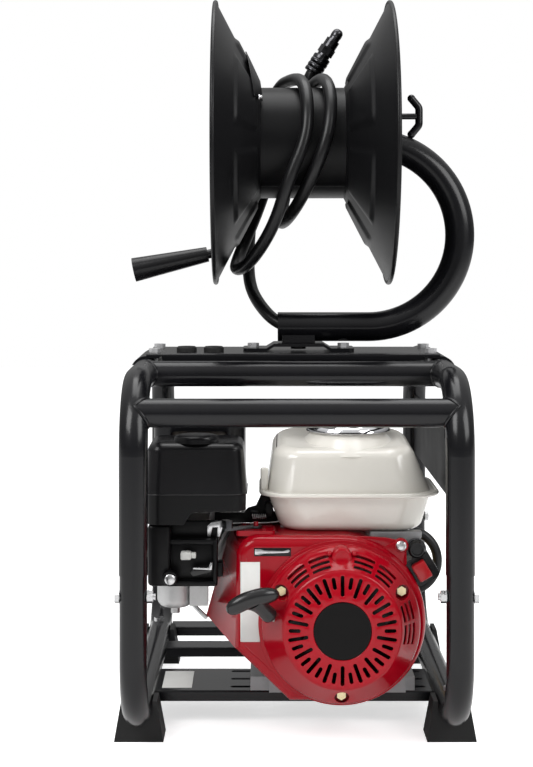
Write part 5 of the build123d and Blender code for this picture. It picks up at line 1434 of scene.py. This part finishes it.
@dataclass
class EngineSwitch:
    """The switch's red block and the round body above it."""

    lean: float = 31.0
    thick: float = 15.2

    PIVOT: ClassVar[Triple] = (151.575, 66.2, 206.228)
    BODY_SEAT: ClassVar[Triple] = (144.5, 78.5, 229.5)
    CORNERS: ClassVar[Line] = ((-10.5, -10), (6.5, -10), (6.5, 11), (-10.5, 11))
    BODY: ClassVar[Line] = (
        (0, 0), (0, 6.0), (-2.5, 6.4), (-2.5, 8.4), (0, 9.2), (1.6, 10.4), (6, 10.6), (6, 11.4),
        (16, 11.4), (16, 0),
    )

    def build(self) -> None:
        """Make the block and the body."""
        turn = math.radians(self.lean)
        out = Vector((math.cos(turn), 0, math.sin(turn))) * MM
        up = Vector((-math.sin(turn), 0, math.cos(turn))) * MM
        outline = [at(*self.PIVOT) + out * x + up * z for x, z in self.CORNERS]
        block = slab(outline, BACK * (self.thick * MM), 2.0)
        knob = add_piece(block, "switch_block", RED_PLASTIC, "switch")
        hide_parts("switch_knob")
        body = spun(self.BODY, at(*self.BODY_SEAT), BACK, 48)
        add_piece(body, "switch_body", BLACK_PLASTIC)


@dataclass
class CageTrim:
    """A bare label on the engine plate, and weld beads where the crossbars meet the hoops."""

    hoop: float = 186.4
    tube: float = 16.7
    bead: float = 4.0
    steps: int = 40

    LABEL: ClassVar[tuple[Triple, Triple]] = ((-164, 172, 40.9), (-127, 253, 41.35))
    BARS: ClassVar[tuple[tuple[float, float, float, tuple[float, float]], ...]] = (
        (15.26, 398.0, 16.7, (-0.809, 0.5875)),
        (178.0, 431.0, 15.9, (0.0, 1.0)),
        (400.8, 431.0, 15.9, (0.0, 1.0)),
    )

    def build(self) -> None:
        """Make the label, and lay each bead along the line where two tubes meet."""
        add_piece(rounded_box(*self.LABEL, 0.1), "plate_label", LABEL_WHITE)
        turns = [math.tau * step / self.steps for step in range(self.steps)]
        loops = []
        for depth, z, radius, lean in self.BARS:
            spots = [Vector((math.cos(t), math.sin(t))) * radius for t in turns]
            offs = [spot.dot(Vector(lean)) for spot in spots]
            reach = [self.hoop - math.sqrt(max(self.tube**2 - off**2, 0.0)) for off in offs]
            for side in (-1, 1):
                loops.append([
                    at(side * x, depth + spot.x, z + spot.y) for x, spot in zip(reach, spots)
                ])
        settle(tube("cage_welds", loops, self.bead, closed=True), POWDER_BLACK)


@dataclass
class Studio:
    """The floor, the light and the camera."""

    distance: float = 1900.0
    eye_x: float = -39.7
    eye_z: float = 586.5
    lens: float = 78.24
    sensor: float = 36.0
    shift_x: float = 0.0059
    shift_y: float = -0.1754
    floor_lift: float = 0.62
    low_light: float = 0.16

    AIM: ClassVar[Triple] = (0, 0, 0.45)
    LAMPS: ClassVar[tuple[tuple[str, Triple, float, float], ...]] = (
        ("key", (-1.5, -1.6, 2.0), 1.4, 46.0),
        ("fill", (1.7, -1.3, 1.5), 1.3, 30.0),
        ("top", (0.0, 0.2, 2.4), 1.4, 24.0),
    )

    def build(self) -> None:
        """Make the stage, world, lamps and camera."""
        self._floor()
        self._world()
        self._lamps()
        camera = placed("camera", bpy.data.cameras.new("camera"))
        camera.data.sensor_fit = "VERTICAL"
        camera.data.sensor_height = self.sensor
        camera.data.lens = self.lens
        camera.data.shift_x = self.shift_x
        camera.data.shift_y = self.shift_y
        camera.location = at(self.eye_x, -self.distance, self.eye_z)
        camera.rotation_euler = (math.radians(90), 0, 0)
        bpy.context.scene.camera = camera
        bpy.context.scene.view_settings.view_transform = "Standard"

    def _floor(self) -> None:
        """A wide pale floor, lifted to white where the camera sees it."""
        shape = bmesh.new()
        bmesh.ops.create_grid(shape, x_segments=1, y_segments=1, size=6.0)
        mesh = bpy.data.meshes.new("floor")
        shape.to_mesh(mesh)
        shape.free()
        mat = bpy.data.materials.new("floor_pale")
        mat.use_nodes = True
        tree = mat.node_tree
        lift = add_node(tree, "Math", {0: self._seen(tree), 1: self.floor_lift})
        lift.operation = "MULTIPLY"
        feed(tree.nodes["Principled BSDF"], {
            "Base Color": (0.86, 0.86, 0.86, 1.0), "Roughness": 0.7,
            "Emission Color": WHITE, "Emission Strength": lift.outputs[0],
        })
        mesh.materials.append(mat)
        placed("floor", mesh)

    @staticmethod
    def _seen(tree: bpy.types.NodeTree) -> bpy.types.NodeSocket:
        """Whether a ray comes from the camera, or to it through a clear surface.

        Args:
            tree: The node tree to build it in.

        Returns:
            A socket that gives 1 for such a ray and 0 for any other.
        """
        path = tree.nodes.new("ShaderNodeLightPath").outputs
        either = add_node(tree, "Math", {0: path["Is Camera Ray"], 1: path["Is Transmission Ray"]})
        either.operation = "MAXIMUM"
        return either.outputs[0]

    def _world(self) -> None:
        """A surround that is dim at the sides and pale above, white where the camera sees it."""
        world = bpy.data.worlds.new("surround")
        bpy.context.scene.world = world
        world.use_nodes = True
        tree = world.node_tree
        sky = tree.nodes.new("ShaderNodeTexCoord").outputs["Generated"]
        height = add_node(tree, "SeparateXYZ", {0: sky}).outputs["Z"]
        rise = add_node(tree, "MapRange", {"Value": height, "To Min": self.low_light})
        soft = feed(tree.nodes["Background"], {"Color": WHITE, "Strength": rise.outputs["Result"]})
        bright = add_node(tree, "Background", {"Color": WHITE, "Strength": 1.0})
        mix = add_node(
            tree, "MixShader", {0: self._seen(tree), 1: soft.outputs[0], 2: bright.outputs[0]},
        )
        feed(tree.nodes["World Output"], {"Surface": mix.outputs[0]})

    def _lamps(self) -> None:
        """Large soft lamps aimed at the middle of the part, with their places, sizes and watts."""
        for name, place, size, power in self.LAMPS:
            light = bpy.data.lights.new(name, "AREA")
            light.shape = "SQUARE"
            light.size = size
            light.energy = power
            lamp = placed(name, light)
            lamp.location = place
            aim = Vector(self.AIM) - Vector(place)
            lamp.rotation_euler = aim.to_track_quat("-Z", "Y").to_euler()


def main() -> None:
    """Build every piece in order."""
    logging.basicConfig(level=logging.INFO, format="%(message)s")
    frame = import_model()
    nodes = frame["nodes"]
    dress_nodes(nodes)
    left = ReelFlange("left", -1)
    for part in (
        Studio(), JumperHose(nodes["hose_coupler"]), RecoilCover(), BypassHose(), Starter(),
        left, ReelFlange("right", 1), ReelTrim(left), CowlTrim(), TankTrim(), Governor(),
        AirCleaner(), Controls(), EngineSwitch(), CageTrim(),
    ):
        part.build()


if __name__ == "__main__":
    main()
